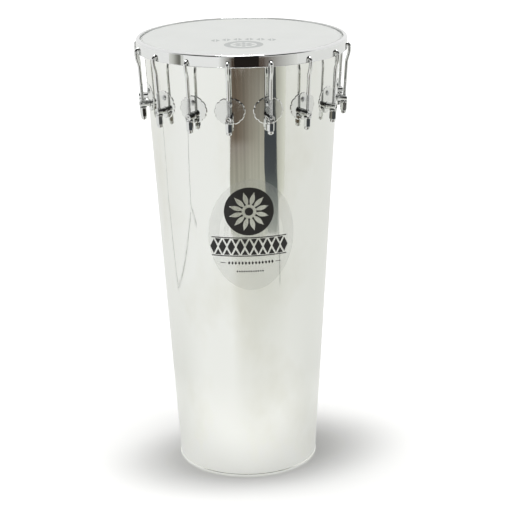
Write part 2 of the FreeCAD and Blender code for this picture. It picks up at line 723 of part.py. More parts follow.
pieces = [shell, shell_decal, drumhead, flesh_hoop, counter_hoop, lug_plates, lug_posts,
          post_screws, dome_bolts, rod_washers, bolt_nuts]
pieces += [made for made in doc.Objects if made.Label in ("post_washers", "bolt_washers")]
pieces += tension_rods + tuning_nuts

os.makedirs("parts", exist_ok=True)
for piece in pieces:
    shape = piece.Shape
    if shape.isNull() or not shape.isValid():
        raise RuntimeError("%s has no sound shape" % piece.Label)
    shape.exportStep("parts/%s.step" % piece.Label)
    box = shape.BoundBox
    print("%-16s %3d solids  volume %10.1f  z %7.2f to %7.2f" % (
        piece.Label, len(shape.Solids), shape.Volume, box.ZMin, box.ZMax))
print("%d files" % len(pieces))
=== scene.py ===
# %% [markdown]
# # A timbal drum in polished aluminium
#
# This script dresses a drum that was already built as solids. The solids give
# every size and every joint, and here each visible piece gets its fine shape and its finish.
# All lengths are worked out in millimetres and turned to metres once, by the value MM.

# %% Load the imported model
import math

import bpy
from mathutils import Matrix, Vector


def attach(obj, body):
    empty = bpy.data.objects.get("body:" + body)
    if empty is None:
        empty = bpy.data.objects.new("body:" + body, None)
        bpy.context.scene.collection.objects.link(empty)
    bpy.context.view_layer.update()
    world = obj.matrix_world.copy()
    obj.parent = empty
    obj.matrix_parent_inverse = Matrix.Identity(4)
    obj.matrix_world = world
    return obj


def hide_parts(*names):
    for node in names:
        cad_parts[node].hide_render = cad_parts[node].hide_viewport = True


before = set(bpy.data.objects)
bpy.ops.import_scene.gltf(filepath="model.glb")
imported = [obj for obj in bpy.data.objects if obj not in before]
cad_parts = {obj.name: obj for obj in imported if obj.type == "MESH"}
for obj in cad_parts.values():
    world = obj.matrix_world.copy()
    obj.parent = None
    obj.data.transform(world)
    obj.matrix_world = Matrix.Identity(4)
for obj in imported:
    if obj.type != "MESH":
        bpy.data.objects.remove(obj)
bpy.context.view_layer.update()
MM = 0.001

# %% [markdown]
# ## The camera
#
# The photograph was taken from a little over the drum with a long lens. The place and the
# turn of the camera were found by solving for the edges of the shell and the hoop, so the
# numbers below are a measured fit. The lens is given for a square picture.

# %% Place the camera
CAMERA_PLACE = (0.0, -3.045, 1.364)
CAMERA_YAW, CAMERA_PITCH, CAMERA_ROLL = 0.38, 17.72, -0.85
PHOTO_WIDTH, FOCAL_PIXELS, SENSOR_WIDTH = 512, 1709, 36

yaw, pitch, roll = (math.radians(turn) for turn in (CAMERA_YAW, CAMERA_PITCH, CAMERA_ROLL))
camera = bpy.data.objects.new("camera", bpy.data.cameras.new("camera"))
camera.data.sensor_width = SENSOR_WIDTH
camera.data.lens = FOCAL_PIXELS * SENSOR_WIDTH / PHOTO_WIDTH
camera.location = CAMERA_PLACE
ahead = Vector((math.sin(yaw) * math.cos(pitch), math.cos(yaw) * math.cos(pitch),
                -math.sin(pitch)))
level_right = ahead.cross(Vector((0, 0, 1))).normalized()
level_up = level_right.cross(ahead)
right = math.cos(roll) * level_right + math.sin(roll) * level_up
up = math.cos(roll) * level_up - math.sin(roll) * level_right
camera.matrix_world = Matrix((
    (right.x, up.x, -ahead.x, CAMERA_PLACE[0]),
    (right.y, up.y, -ahead.y, CAMERA_PLACE[1]),
    (right.z, up.z, -ahead.z, CAMERA_PLACE[2]),
    (0, 0, 0, 1)))
bpy.context.scene.collection.objects.link(camera)
bpy.context.scene.camera = camera
bpy.context.scene.view_settings.view_transform = "Standard"
print("lens", round(camera.data.lens, 1), "mm")

# %% [markdown]
# ## Small tools
#
# Colours are written as the hex codes that a picture editor shows, and one function turns
# them to the linear light that Blender works in. Another adds one node to a tree, with its
# settings and with each input either joined to another node or set to a value. The others
# are the few steps that come again and again below.


# %% Colour, node and mesh tools
def tone(code):
    """A colour given as an sRGB hex code, in linear light."""
    parts = [int(code[start:start + 2], 16) / 255 for start in (1, 3, 5)]
    return [part / 12.92 if part <= 0.04045 else ((part + 0.055) / 1.055) ** 2.4
            for part in parts] + [1.0]


def put(tree, kind, joins=None, **settings):
    """Adds a node with its settings, and joins its inputs or sets their values."""
    node = tree.nodes.new(kind)
    for name, setting in settings.items():
        setattr(node, name, setting)
    for place, source in (joins or {}).items():
        if isinstance(source, bpy.types.NodeSocket):
            tree.links.new(source, node.inputs[place])
        else:
            node.inputs[place].default_value = source
    return node


def sum_of(tree, operation, first, second=0.0):
    """One sum in a tree, such as ADD or FLOORED_MODULO."""
    return put(tree, "ShaderNodeMath", {0: first, 1: second}, operation=operation).outputs[0]


def product(tree, first, second):
    return sum_of(tree, "MULTIPLY", first, second)


def slide(tree, amount, start, end, low=0.0, high=1.0):
    """Goes from low to high while the amount goes from start to end."""
    return put(tree, "ShaderNodeMapRange", {
        "Value": amount, "From Min": start, "From Max": end, "To Min": low,
        "To Max": high}).outputs["Result"]


def mix(tree, share, first, second, kind="RGBA"):
    """Goes from the first colour or value to the second as the share goes from 0 to 1."""
    start, out = (6, 2) if kind == "RGBA" else (2, 0)
    return put(tree, "ShaderNodeMix", {0: share, start: first, start + 1: second},
               data_type=kind).outputs[out]


def ramp(tree, factor, stops):
    """A colour ramp whose stops are pairs of place and hex colour."""
    node = put(tree, "ShaderNodeValToRGB", {"Fac": factor})
    while len(node.color_ramp.elements) < len(stops):
        node.color_ramp.elements.new(0.5)
    for element, (place, code) in zip(node.color_ramp.elements, stops):
        element.position = place
        element.color = tone(code)
    return node.outputs["Color"]


def add_object(name, data):
    thing = bpy.data.objects.new(name, data)
    bpy.context.scene.collection.objects.link(thing)
    return thing


def mesh_of(name, corners, faces=(), edges=(), scale=MM):
    """A mesh from its corners, which are in millimetres unless the scale says otherwise."""
    mesh = bpy.data.meshes.new(name)
    mesh.from_pydata([tuple(part * scale for part in corner) for corner in corners],
                     edges, faces)
    return mesh


# %% [markdown]
# ## The room that the metal mirrors
#
# Polished metal has hardly any colour of its own: it shows the room. In the photograph the
# drum stands on white boards in a studio. The backdrop and the lamps overhead are white, the
# room behind the camera is dark above the horizon, and a brown floor and a dark gap show
# beyond the boards in front. The world gives the white and the dark, by direction.

# %% The room
WHITE_LEVEL, DARK_LEVEL, SKY_LEVEL = 0.95, 0.03, 0.36
FRONT_EDGE, HORIZON_EDGE, LAMP_EDGE = (-0.05, -0.3), (0.02, 0.07), (0.88, 0.80)

world = bpy.data.worlds.new("studio_room")
bpy.context.scene.world = world
world.use_nodes = True
room = world.node_tree
room.nodes.clear()
facing = put(room, "ShaderNodeSeparateXYZ", {
    0: put(room, "ShaderNodeTexCoord").outputs["Generated"]}).outputs
dark = product(room, product(room, slide(room, facing["Y"], *FRONT_EDGE),
                             slide(room, facing["Z"], *HORIZON_EDGE)),
               slide(room, facing["Z"], *LAMP_EDGE))
path = put(room, "ShaderNodeLightPath").outputs
scattered = sum_of(room, "MINIMUM", path["Diffuse Depth"], 1.0)
indirect = mix(room, scattered, mix(room, dark, WHITE_LEVEL, DARK_LEVEL, "FLOAT"), SKY_LEVEL,
               "FLOAT")
seen = mix(room, path["Is Camera Ray"], indirect, 1.0, "FLOAT")
light = put(room, "ShaderNodeBackground", {"Color": tone("#ffffff"), "Strength": seen})
put(room, "ShaderNodeOutputWorld", {"Surface": light.outputs[0]})

# %% [markdown]
# The floor is white board. Its own shading carries the soft shadow round the foot of the
# drum. A painted glow, seen by the camera, starts on an oval round the foot and grows with
# the distance: it trims the shadow to that oval and keeps the rest of the floor white. Mirror
# rays see another painted glow. It is strong by the foot, where it lightens the mirrored
# shadow, weakest about a metre out and stronger again further away. For mirror rays the
# boards also get painted shade: a little greyer in front, and close behind the drum, where
# less light reached them. A wide, high lamp makes the shadow, longer from left to right than
# from front to back.

# %% The floor and the lamp
# Painted light: a glow on the floor for camera rays. It starts at the oval round the foot, grows
# with the distance and trims the shadow to the oval.
NEAR_PAINTED_GLOW, FAR_PAINTED_GLOW, PAINTED_GLOW_REACH = 0.37, 0.4, (0.2, 3.2)
SHADE_MIDDLE, SHADE_SIZE, SHADE_TURN = (0.015, -0.015, 0.0), (0.28, 0.175, 1.0), 18
SHADE_START, SHADE_END = 0.35, 1.2
MIRROR_REACH, MIRROR_SHADE_REACH, BEHIND_SHADE_REACH = (0.0, 5.0), (0.2, 1.0), (1.0, 0.5)
FLOOR_HALF, FLOOR_DROP = 7.0, 0.0003
LAMP_WIDE, LAMP_DEEP, LAMP_POWER, LAMP_PLACE = 2.6, 1.2, 162, (-0.12, -0.05, 6.0)
# Painted light seen only in mirrors: a glow on the floor by distance. It is strong by the foot,
# where it lightens the mirrored shadow.
MIRROR_PAINTED_GLOW = [(0.03, "#a2a2a2"), (0.06, "#959595"), (0.1, "#808080"), (0.2, "#7c7c7c"),
                (0.3, "#818181"), (0.42, "#898989"), (0.52, "#939393"), (1.0, "#bfbfbf")]
# Painted shade seen only in mirrors: the boards are greyer in front and lightest on the left, by
# the way round the drum.
MIRRORED_BOARD_SHADE = [(0.0, "#e4e5e1"), (0.20, "#eeefed"), (0.30, "#f3f4f3"), (0.445, "#f3f4f2"),
               (0.485, "#dadad1"), (0.53, "#d3d4cb"), (0.60, "#d5d6ce"), (0.635, "#dbdcd5"),
               (0.665, "#e2e3de"), (0.72, "#e4e5e1"), (1.0, "#e4e5e1")]
# Painted shade seen only in mirrors: this mask greys the boards behind the drum and not in front.
BEHIND_SHADE_MASK = [(0.0, "#ffffff"), (0.22, "#dddddd"), (0.34, "#000000"), (0.62, "#000000"),
          (0.76, "#dddddd"), (1.0, "#ffffff")]


def stage_sheet(name, corners, faces):
    """A stage piece from corners in metres."""
    sheet = add_object(name, mesh_of(name, corners, faces, scale=1.0))
    return sheet


def flat_sheet(name, corners, height):
    """A level stage piece of one face, through (x, y) corners."""
    return stage_sheet(name, [(x, y, height) for x, y in corners], [list(range(len(corners)))])


def new_glow(name):
    """An empty finish for a stage piece, and the place of each of its points."""
    finish = bpy.data.materials.new(name)
    finish.use_nodes = True
    finish.node_tree.nodes.clear()
    place = put(finish.node_tree, "ShaderNodeTexCoord").outputs["Object"]
    return finish, finish.node_tree, place


def round_place(tree, place):
    """How far a point lies from the drum, and its share of the way round from behind."""
    spot = put(tree, "ShaderNodeSeparateXYZ", {0: place}).outputs
    turn = sum_of(tree, "ARCTAN2", spot["X"], product(tree, spot["Y"], -1.0))
    away = put(tree, "ShaderNodeVectorMath", {0: place}, operation="LENGTH").outputs["Value"]
    return away, slide(tree, turn, -math.pi, math.pi)


floor = flat_sheet("floor", [(-FLOOR_HALF, -FLOOR_HALF), (FLOOR_HALF, -FLOOR_HALF),
                             (FLOOR_HALF, FLOOR_HALF), (-FLOOR_HALF, FLOOR_HALF)], -FLOOR_DROP)
white_board, tree, place = new_glow("white_board_floor")
away, share = round_place(tree, place)
path = put(tree, "ShaderNodeLightPath").outputs
to_camera, to_mirror = path["Is Camera Ray"], path["Is Glossy Ray"]
oval = put(tree, "ShaderNodeMapping", {
    "Vector": place, "Location": SHADE_MIDDLE, "Scale": SHADE_SIZE,
    "Rotation": (0.0, 0.0, math.radians(SHADE_TURN))}, vector_type="TEXTURE")
from_oval = put(tree, "ShaderNodeVectorMath", {0: oval.outputs[0]}, operation="LENGTH")
painted_glow_near = put(tree, "ShaderNodeMapRange", {
    "Value": from_oval.outputs["Value"], "From Min": SHADE_START,
    "From Max": SHADE_END, "To Max": NEAR_PAINTED_GLOW}, interpolation_type="SMOOTHSTEP").outputs["Result"]
painted_glow_far = product(tree, slide(tree, away, *PAINTED_GLOW_REACH), FAR_PAINTED_GLOW)
# Painted light: the oval glow for camera rays plus the distance glow seen in mirrors.
painted_glow = sum_of(tree, "ADD",
              product(tree, to_camera, sum_of(tree, "ADD", painted_glow_near, painted_glow_far)),
              product(tree, to_mirror, ramp(tree, slide(tree, away, *MIRROR_REACH),
                                            MIRROR_PAINTED_GLOW)))
# Painted shade for mirror rays only, which grows from 0.2 m out and is full from 1 m. The camera
# sees the plain white board.
mirror_shaded = product(tree, to_mirror, slide(tree, away, *MIRROR_SHADE_REACH))
board_colour_and_mirror_shade = mix(tree, mirror_shaded, tone("#f4f4f2"), ramp(tree, share, MIRRORED_BOARD_SHADE))
# Painted shade seen in mirrors: boards within a metre behind the drum go grey.
painted_shade_behind = product(tree, product(tree, ramp(tree, share, BEHIND_SHADE_MASK),
                               slide(tree, away, *BEHIND_SHADE_REACH)), to_mirror)
board_colour_and_mirror_shade = mix(tree, painted_shade_behind, board_colour_and_mirror_shade, tone("#d9dad6"))
matt = put(tree, "ShaderNodeBsdfDiffuse", {"Color": board_colour_and_mirror_shade})
glow = put(tree, "ShaderNodeEmission", {"Strength": painted_glow})
both = put(tree, "ShaderNodeAddShader", {0: matt.outputs[0], 1: glow.outputs[0]})
put(tree, "ShaderNodeOutputMaterial", {"Surface": both.outputs[0]})
floor.data.materials.append(white_board)

lamp = add_object("overhead_lamp", bpy.data.lights.new("overhead_lamp", "AREA"))
lamp.data.shape = "ELLIPSE"
lamp.data.size, lamp.data.size_y = LAMP_WIDE, LAMP_DEEP
lamp.data.energy = LAMP_POWER
lamp.location = LAMP_PLACE

# %% [markdown]
# The brown floor and the dark gap between the boards lie flat, and a low dark wall stands
# far behind them. Only mirror rays see them. Where their edges lie was worked out by
# following the mirrored edges of the photograph back from the shell to the floor. Three thin
# dark lines are edges of the boards, two on the left and one on the right.


# %% What only mirrors see
def mirror_only(sheet, name, tree_maker):
    """Hides a stage piece from all but mirror rays, and gives it its glow."""
    sheet.visible_camera = sheet.visible_diffuse = sheet.visible_shadow = False
    finish, tree, place = new_glow(name)
    glow = put(tree, "ShaderNodeEmission", {"Color": tree_maker(tree, place)})
    put(tree, "ShaderNodeOutputMaterial", {"Surface": glow.outputs[0]})
    sheet.data.materials.append(finish)


def ring_part(name, near, far, first, last, steps=24):
    """A stage grid between two rings; near and far are (distance, height) in metres."""
    corners, faces = [], []
    for step in range(steps + 1):
        turn = math.radians(first + (last - first) * step / steps)
        for distance, height in (near, far):
            corners.append((distance * math.sin(turn), -distance * math.cos(turn), height))
        if step:
            faces.append((2 * step - 2, 2 * step - 1, 2 * step + 1, 2 * step))
    return stage_sheet(name, corners, faces)


def brown_tones(tree, place):
    """Browner with the distance, paler towards the right, and in streaks."""
    away, share = round_place(tree, place)
    streaks = put(tree, "ShaderNodeTexNoise", {"W": share, "Scale": 110.0, "Detail": 2.0},
                  noise_dimensions="1D").outputs["Fac"]
    near_far = slide(tree, away, 1.2, 4.2)
    left = ramp(tree, near_far, [(0.0, "#c9cbc2"), (0.06, "#a8a89c"), (0.16, "#9c998d"),
                                 (0.225, "#928b83"), (0.25, "#6f6458"), (0.45, "#63584d"),
                                 (1.0, "#4c4238")])
    right = ramp(tree, near_far, [(0.0, "#cacbc2"), (0.08, "#b4b5a9"), (0.2, "#acaa9e"),
                                  (0.4, "#908c82"), (0.6, "#6a6156"), (1.0, "#5a5048")])
    brown = mix(tree, slide(tree, share, 0.485, 0.56), left, right)
    return put(tree, "ShaderNodeVectorMath", {
        0: brown, "Scale": slide(tree, streaks, 0.3, 0.7, 0.88, 1.12)},
        operation="SCALE").outputs[0]


def far_tones(tree, place):
    """The brown floor further out, lost softly at both sides."""
    away, share = round_place(tree, place)
    inside = product(tree, slide(tree, share, 0.433, 0.472), slide(tree, share, 0.665, 0.56))
    outside = ramp(tree, share, [(0.433, "#f9faf8"), (0.665, "#ecede9")])
    return mix(tree, inside, outside, brown_tones(tree, place))


def by_distance(start, end, stops):
    """Tones that change between two distances from the drum."""
    return lambda tree, place: ramp(
        tree, slide(tree, round_place(tree, place)[0], start, end), stops)


def wall_tones(tree, place):
    height = put(tree, "ShaderNodeSeparateXYZ", {0: place}).outputs["Z"]
    return ramp(tree, slide(tree, height, 0.0, 1.0), [(0.0, "#2a2522"), (0.2, "#1b1a19"),
                                                      (1.0, "#1a1a1a")])


def edge_tones(tree, place):
    """The soft right side of the gap, which is lost towards the drum and to the right."""
    away, share = round_place(tree, place)
    strip = ramp(tree, slide(tree, away, 0.9, 2.5), [(0.0, "#dcddd5"), (0.3, "#bebfb3"),
                                                     (1.0, "#b2b2a8")])
    return mix(tree, slide(tree, share, 0.613, 0.638), strip, tone("#d9dad1"))


def side_tones(tree, place):
    """A darker place far to the left, soft on both sides."""
    share = round_place(tree, place)[1]
    return ramp(tree, slide(tree, share, 0.27, 0.32), [
        (0.0, "#e2e3de"), (0.3, "#c9cac4"), (0.58, "#8f8f88"), (0.74, "#74746d"),
        (0.82, "#7b7b74"), (0.9, "#dcddd8")])


gap_tones = by_distance(1.2, 2.7, [(0.0, "#b0b2aa"), (0.1, "#8b908c"), (0.19, "#6a706e"),
                                   (0.3, "#4a4e51"), (0.5, "#42464a"), (1.0, "#50514f")])
black_tones = by_distance(2.6, 3.8, [(0.0, "#2e2b28"), (1.0, "#262321")])
line_tones = by_distance(0.9, 2.5, [(0.0, "#8d8f8a"), (1.0, "#4a4c4a")])
FLAT_PIECES = [
    ("mirrored_brown_floor", 0.002, "brown_floor", brown_tones,
     [(-0.38, -1.20), (-0.48, -1.62), (-0.52, -1.95), (-0.66, -2.55), (1.18, -2.55),
      (0.72, -1.53), (0.62, -1.10)]),
    ("mirrored_gap", 0.002, "dark_gap", gap_tones,
     [(0.62, -1.10), (0.72, -1.53), (1.18, -2.55), (1.72, -2.22), (1.00, -1.09),
      (0.86, -0.93)]),
    ("mirrored_gap_side", 0.001, "gap_side", edge_tones,
     [(0.99, -1.07), (1.70, -2.19), (2.12, -1.72), (1.20, -0.97)])]
RING_PIECES = [
    ("mirrored_far_floor", (2.62, 0.002), (4.4, 0.002), (-24, 60), "far_floor", far_tones),
    ("mirrored_dark_floor", (2.7, 0.004), (3.74, 0.004), (-8, 34), "dark_floor", black_tones),
    ("mirrored_side", (3.0, 0.002), (5.8, 0.002), (-83, -64), "dark_side", side_tones),
    ("mirrored_far_wall", (3.75, 0.01), (3.75, 1.6), (-8, 17.5), "far_wall", wall_tones)]
for name, height, finish_name, tones, edges in FLAT_PIECES:
    mirror_only(flat_sheet(name, edges, height), finish_name, tones)
for name, near, far, turns, finish_name, tones in RING_PIECES:
    mirror_only(ring_part(name, near, far, *turns), finish_name, tones)

BOARD_LINES = [[(-2.54, 1.12), (-1.44, 0.68), (-0.92, 0.26), (-1.07, 0.01), (-1.35, -0.44)],
               [(-2.34, -0.92), (-1.66, -0.57), (-1.40, -0.47), (-1.18, -0.58)],
               [(1.00, -1.09), (0.82, -0.82), (0.70, -0.67)]]
LINE_WIDE, LINE_HEIGHT = 0.016, 0.004
for number, spots in enumerate(BOARD_LINES):
    sides = [[], []]
    for index, spot in enumerate(spots):
        before, after = spots[max(index - 1, 0)], spots[min(index + 1, len(spots) - 1)]
        along = Vector((after[0] - before[0], after[1] - before[1])).normalized()
        for side, sign in zip(sides, (0.5, -0.5)):
            side.append((spot[0] - sign * LINE_WIDE * along.y,
                         spot[1] + sign * LINE_WIDE * along.x))
    mirror_only(flat_sheet("mirrored_board_edge_%d" % (number + 1), sides[0] + sides[1][::-1],
                           LINE_HEIGHT), "board_edge", line_tones)

# %% [markdown]
# ## Finishes
#
# Every finish below is written for what the real one is and how its surface was made.
# Metals are fully metallic, and differ in their colour, their roughness and the marks left
# by how they were made: rolling, polishing, plating or drawing. The patterns read Object
# coordinates, which are metres here, so a scale of 1000 gives one cycle in a millimetre.


# %% A start for every finish
EVEN = (1.0, 1.0, 1.0)


def grain(tree, place, stretch, scale, detail=2.0, rough=0.5):
    """Noise whose cells are stretched by the three shares of stretch."""
    drawn = put(tree, "ShaderNodeVectorMath", {0: place, 1: stretch}, operation="MULTIPLY")
    return put(tree, "ShaderNodeTexNoise", {
        "Vector": drawn.outputs[0], "Scale": scale, "Detail": detail,
        "Roughness": rough}).outputs["Fac"]


def spread(tree, amount, low, high, from_low=0.3, from_high=0.7):
    """The amount, taken from one range to another."""
    return slide(tree, amount, from_low, from_high, low, high)


def new_finish(name, code, rough, **values):
    """A principled material; each further value is set on the socket of that name."""
    finish = bpy.data.materials.new(name)
    finish.use_nodes = True
    tree = finish.node_tree
    shader = tree.nodes["Principled BSDF"]
    for label, amount in dict(values, Base_Color=tone(code), Roughness=rough).items():
        shader.inputs[label.replace("_", " ")].default_value = amount
    return finish, tree, shader, put(tree, "ShaderNodeTexCoord").outputs["Object"]


def grained(name, code, rough, pattern, low, high, **values):
    """A finish whose roughness goes from low to high with a grain of (stretch, scale,
    detail); the grain is given back last."""
    finish, tree, shader, place = new_finish(name, code, rough, **values)
    marks = grain(tree, place, *pattern)
    tree.links.new(spread(tree, marks, low, high), shader.inputs["Roughness"])
    return finish, tree, shader, place, marks


def tinted(tree, shader, share, first, second):
    """The base colour goes from one hex colour to another."""
    tree.links.new(mix(tree, share, tone(first), tone(second)), shader.inputs["Base Color"])


def dented(tree, shader, height, depth, base=None):
    """Raises the surface by a height pattern; depth is its full depth in metres."""
    joins = {"Height": height, "Distance": depth, "Strength": 1.0}
    if base:
        joins["Normal"] = base
    bump = put(tree, "ShaderNodeBump", joins)
    tree.links.new(bump.outputs["Normal"], shader.inputs["Normal"])
    return bump.outputs["Normal"]


# %% [markdown]
# The shell is rolled aluminium sheet, buffed to a mirror along its height. Up close a buffed
# sheet keeps faint upright streaks, a slow waviness from the bending rolls, and dull patches
# where hands and dust have been. The streaks and the patches go into the roughness, and the
# waviness into a very shallow bump, which is what makes a mirrored edge waver.

# %% Polished aluminium of the shell
DULL_HEIGHT, FOOT_ROUGH, TOP_ROUGH = 0.62, 0.115, 0.035

polished_shell, tree, shader, place = new_finish(
    "buffed_aluminium_sheet", "#f1f2ee", 0.07, Metallic=1.0)
streaks = grain(tree, place, (1.0, 1.0, 0.012), 260, detail=3.0)
patches = grain(tree, place, (1.0, 1.0, 0.6), 9, detail=4.0, rough=0.6)
up_the_wall = put(tree, "ShaderNodeSeparateXYZ", {0: place}).outputs["Z"]
rough = sum_of(tree, "ADD", slide(tree, up_the_wall, 0.0, DULL_HEIGHT, FOOT_ROUGH, TOP_ROUGH),
               spread(tree, streaks, -0.012, 0.028))
rough = sum_of(tree, "ADD", rough, spread(tree, patches, -0.01, 0.035, 0.45, 0.75))
tree.links.new(rough, shader.inputs["Roughness"])
tinted(tree, shader, spread(tree, patches, 0.0, 1.0, 0.5, 0.8), "#f1f2ee", "#e9e9e1")
waves = grain(tree, place, (1.0, 1.0, 0.5), 7, detail=1.0)
wavy = dented(tree, shader, waves, depth=0.0011)
dented(tree, shader, streaks, depth=0.000006, base=wavy)

# %% [markdown]
# Hoop, rods, nuts and posts are steel under chrome plate. Chrome is a cool, nearly perfect
# mirror, so its roughness is low and even, and only a fine orange-peel of the plating and a
# few hair scratches break it.

# %% Chrome plate
chrome, tree, shader, place, _ = grained(
    "chrome_plated_steel", "#e4e5e4", 0.03, ((1.0, 1.0, 0.08), 420, 3.0), 0.015, 0.045,
    Metallic=1.0)
dented(tree, shader, grain(tree, place, EVEN, 900, detail=1.0), depth=0.0000012)

turned_chrome = grained("chrome_plated_turned_steel", "#dfe0df", 0.04,
                        ((0.2, 0.2, 1.0), 2400, 1.0), 0.02, 0.06, Metallic=1.0)[0]

# %% [markdown]
# The small bolt heads over the posts are chromed too, but only satin. The lug plates are
# thin pressed steel with chrome on it. Tiny pits all over soften the mirror a little.

# %% Satin bolt heads and chromed pressed plate
satin_chrome = grained("satin_chrome_bolt_head", "#d6d8d7", 0.3, (EVEN, 1400, 2.0), 0.24, 0.38,
                       Metallic=1.0)[0]

bright_plate, tree, shader, place, _ = grained(
    "chrome_plated_pressed_plate", "#e0e1de", 0.07, (EVEN, 1500, 2.0), 0.04, 0.1, Metallic=1.0)
dented(tree, shader, grain(tree, place, EVEN, 60), depth=0.00003)

# %% [markdown]
# Inside the drum the screws, washers and nuts are zinc-plated steel: a bluish grey with a
# cloudy grain from the plating bath. The channel that holds the film is plain extruded
# aluminium, with fine lines along the way it was drawn.

# %% Zinc plate and drawn aluminium
zinc, tree, shader, place, cloud = grained(
    "zinc_plated_steel", "#a3a7ab", 0.3, (EVEN, 700, 3.0), 0.24, 0.42, Metallic=1.0)
tinted(tree, shader, spread(tree, cloud, 0.0, 1.0), "#94999e", "#b4b7b8")

drawn_channel = grained("drawn_aluminium_channel", "#d3d4d4", 0.32,
                        ((0.05, 0.05, 1.0), 2600, 1.0), 0.26, 0.4, Metallic=1.0)[0]

# %% [markdown]
# The head is a milky polyester film, four tenths of a millimetre thick. It passes some light
# and scatters the rest, so it looks pale grey-white with a soft, slightly sandy gloss from
# its coating. The oval on the shell is a clear self-adhesive film, which only veils the
# metal a little, and both carry a print in one flat ink.

# %% Films and inks
milky_film, tree, shader, place, sand = grained(
    "coated_polyester_film", "#dfe1de", 0.42, (EVEN, 2200, 2.0), 0.38, 0.5, IOR=1.5)
dented(tree, shader, sand, depth=0.000012)
haze = grain(tree, place, EVEN, 14, detail=3.0)
tinted(tree, shader, spread(tree, haze, 0.0, 1.0), "#dddfdc", "#e1e3e0")

clear_film = grained("clear_adhesive_film", "#e6e8e3", 0.2, (EVEN, 2600, 1.0), 0.15, 0.28,
                     IOR=1.46, Alpha=0.06)[0]
black_ink = grained("black_screen_ink", "#1d1b19", 0.38, (EVEN, 1800, 2.0), 0.32, 0.48)[0]
grey_ink = grained("pale_grey_screen_ink", "#b9bcba", 0.45, (EVEN, 1800, 2.0), 0.4, 0.55)[0]
print("finishes", sorted(finish.name for finish in bpy.data.materials))

# %% [markdown]
# ## Growing pieces with Geometry Nodes
#
# A drum is made of round things, and of like things set round a circle. Two rules make most
# of it. The first turns an outline round the upright axis. The second takes one lug's piece,
# leans it with the wall, moves it out to the wall and repeats it. Both are trees of
# geometry nodes with named sizes, so one rule serves every piece.


# %% Helpers that build and run a tree
def new_rule(name, sizes):
    """A geometry tree with a mesh in, named sizes, and a mesh out."""
    tree = bpy.data.node_groups.new(name, "GeometryNodeTree")
    sides = tree.interface
    sides.new_socket("Geometry", in_out="INPUT", socket_type="NodeSocketGeometry")
    for label, kind in sizes.items():
        sides.new_socket(label, in_out="INPUT", socket_type="NodeSocket" + kind)
    sides.new_socket("Finish", in_out="INPUT", socket_type="NodeSocketMaterial")
    sides.new_socket("Geometry", in_out="OUTPUT", socket_type="NodeSocketGeometry")
    return tree, tree.nodes.new("NodeGroupInput").outputs


def close_rule(tree, given, last):
    """Ends a tree: its copies are made real and get their finish."""
    real = put(tree, "GeometryNodeRealizeInstances", {"Geometry": last.outputs[0]})
    dressed = put(tree, "GeometryNodeSetMaterial", {
        "Geometry": real.outputs[0], "Material": given["Finish"]})
    put(tree, "NodeGroupOutput", {"Geometry": dressed.outputs[0]})
    return tree


def grow(name, start, rule, **sizes):
    """Runs a rule on a start mesh and gives back the finished mesh."""
    seed = add_object(name + "_seed", start)
    modifier = seed.modifiers.new("rule", "NODES")
    modifier.node_group = rule
    for item in rule.interface.items_tree:
        if item.in_out == "INPUT" and item.name.replace(" ", "_") in sizes:
            modifier[item.identifier] = sizes[item.name.replace(" ", "_")]
    made = bpy.data.meshes.new_from_object(
        seed.evaluated_get(bpy.context.evaluated_depsgraph_get()))
    made.name = name
    bpy.data.objects.remove(seed)
    return made


def fit(name, mesh, body, nodes=(), sharp=32):
    """Makes a mesh a piece of the drum: shaded, riding on its body, standing for its nodes."""
    mesh.shade_smooth()
    mesh.set_sharp_from_angle(angle=math.radians(sharp))
    piece = add_object(name, mesh)
    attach(piece, body)
    if nodes:
        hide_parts(*nodes)
    return piece


# %% [markdown]
# **Turned on the axis.** The start mesh is an outline of (radius, 0, height) points. A grid
# gets one row for each outline point and one column for each step round the axis, and each
# grid point looks up its outline point and turns it. Merging closes the seam and any pole.

# %% The rule that turns an outline
MERGE_WITHIN = 0.002

tree, given = new_rule("turned_on_the_axis", {"Steps round": "Int"})
outline_count = put(tree, "GeometryNodeAttributeDomainSize", {
    "Geometry": given["Geometry"]}).outputs["Point Count"]
columns = sum_of(tree, "ADD", given["Steps round"], 1.0)
grid = put(tree, "GeometryNodeMeshGrid", {
    "Vertices X": sum_of(tree, "ADD", outline_count, 1.0),
    "Vertices Y": columns}).outputs["Mesh"]
index = put(tree, "GeometryNodeInputIndex").outputs[0]
row = sum_of(tree, "FLOOR", sum_of(tree, "DIVIDE", index, columns))
column = sum_of(tree, "FLOORED_MODULO", index, columns)
spot = put(tree, "GeometryNodeSampleIndex", {
    "Geometry": given["Geometry"],
    "Value": put(tree, "GeometryNodeInputPosition").outputs[0],
    "Index": sum_of(tree, "FLOORED_MODULO", row, outline_count)},
    data_type="FLOAT_VECTOR", domain="POINT").outputs[0]
share = sum_of(tree, "DIVIDE", column, given["Steps round"])
swung = put(tree, "ShaderNodeVectorRotate", {
    "Vector": spot, "Angle": product(tree, share, 2 * math.pi)},
    rotation_type="Z_AXIS").outputs[0]
moved = put(tree, "GeometryNodeSetPosition", {"Geometry": grid, "Position": swung})
merged = put(tree, "GeometryNodeMergeByDistance", {
    "Geometry": moved.outputs[0], "Distance": MERGE_WITHIN * MM})
turned_rule = close_rule(tree, given, merged)


def at(centre, radius, turn):
    """The point of a circle at an angle."""
    return (centre[0] + radius * math.cos(turn), centre[1] + radius * math.sin(turn))


def bend(centre, radius, first, last, steps):
    """Points of an arc about a centre, between two angles in degrees."""
    return [at(centre, radius, math.radians(first + (last - first) * step / steps))
            for step in range(steps + 1)]


def run(start, end, steps=1, hold=0.25):
    """Points along a straight edge, with one held close to each end so that shading stays
    straight there."""
    length = math.dist(start, end)
    shares = [hold / length] + [step / steps for step in range(1, steps)] + [1 - hold / length]
    return [tuple(a + (b - a) * share for a, b in zip(start, end)) for share in shares]


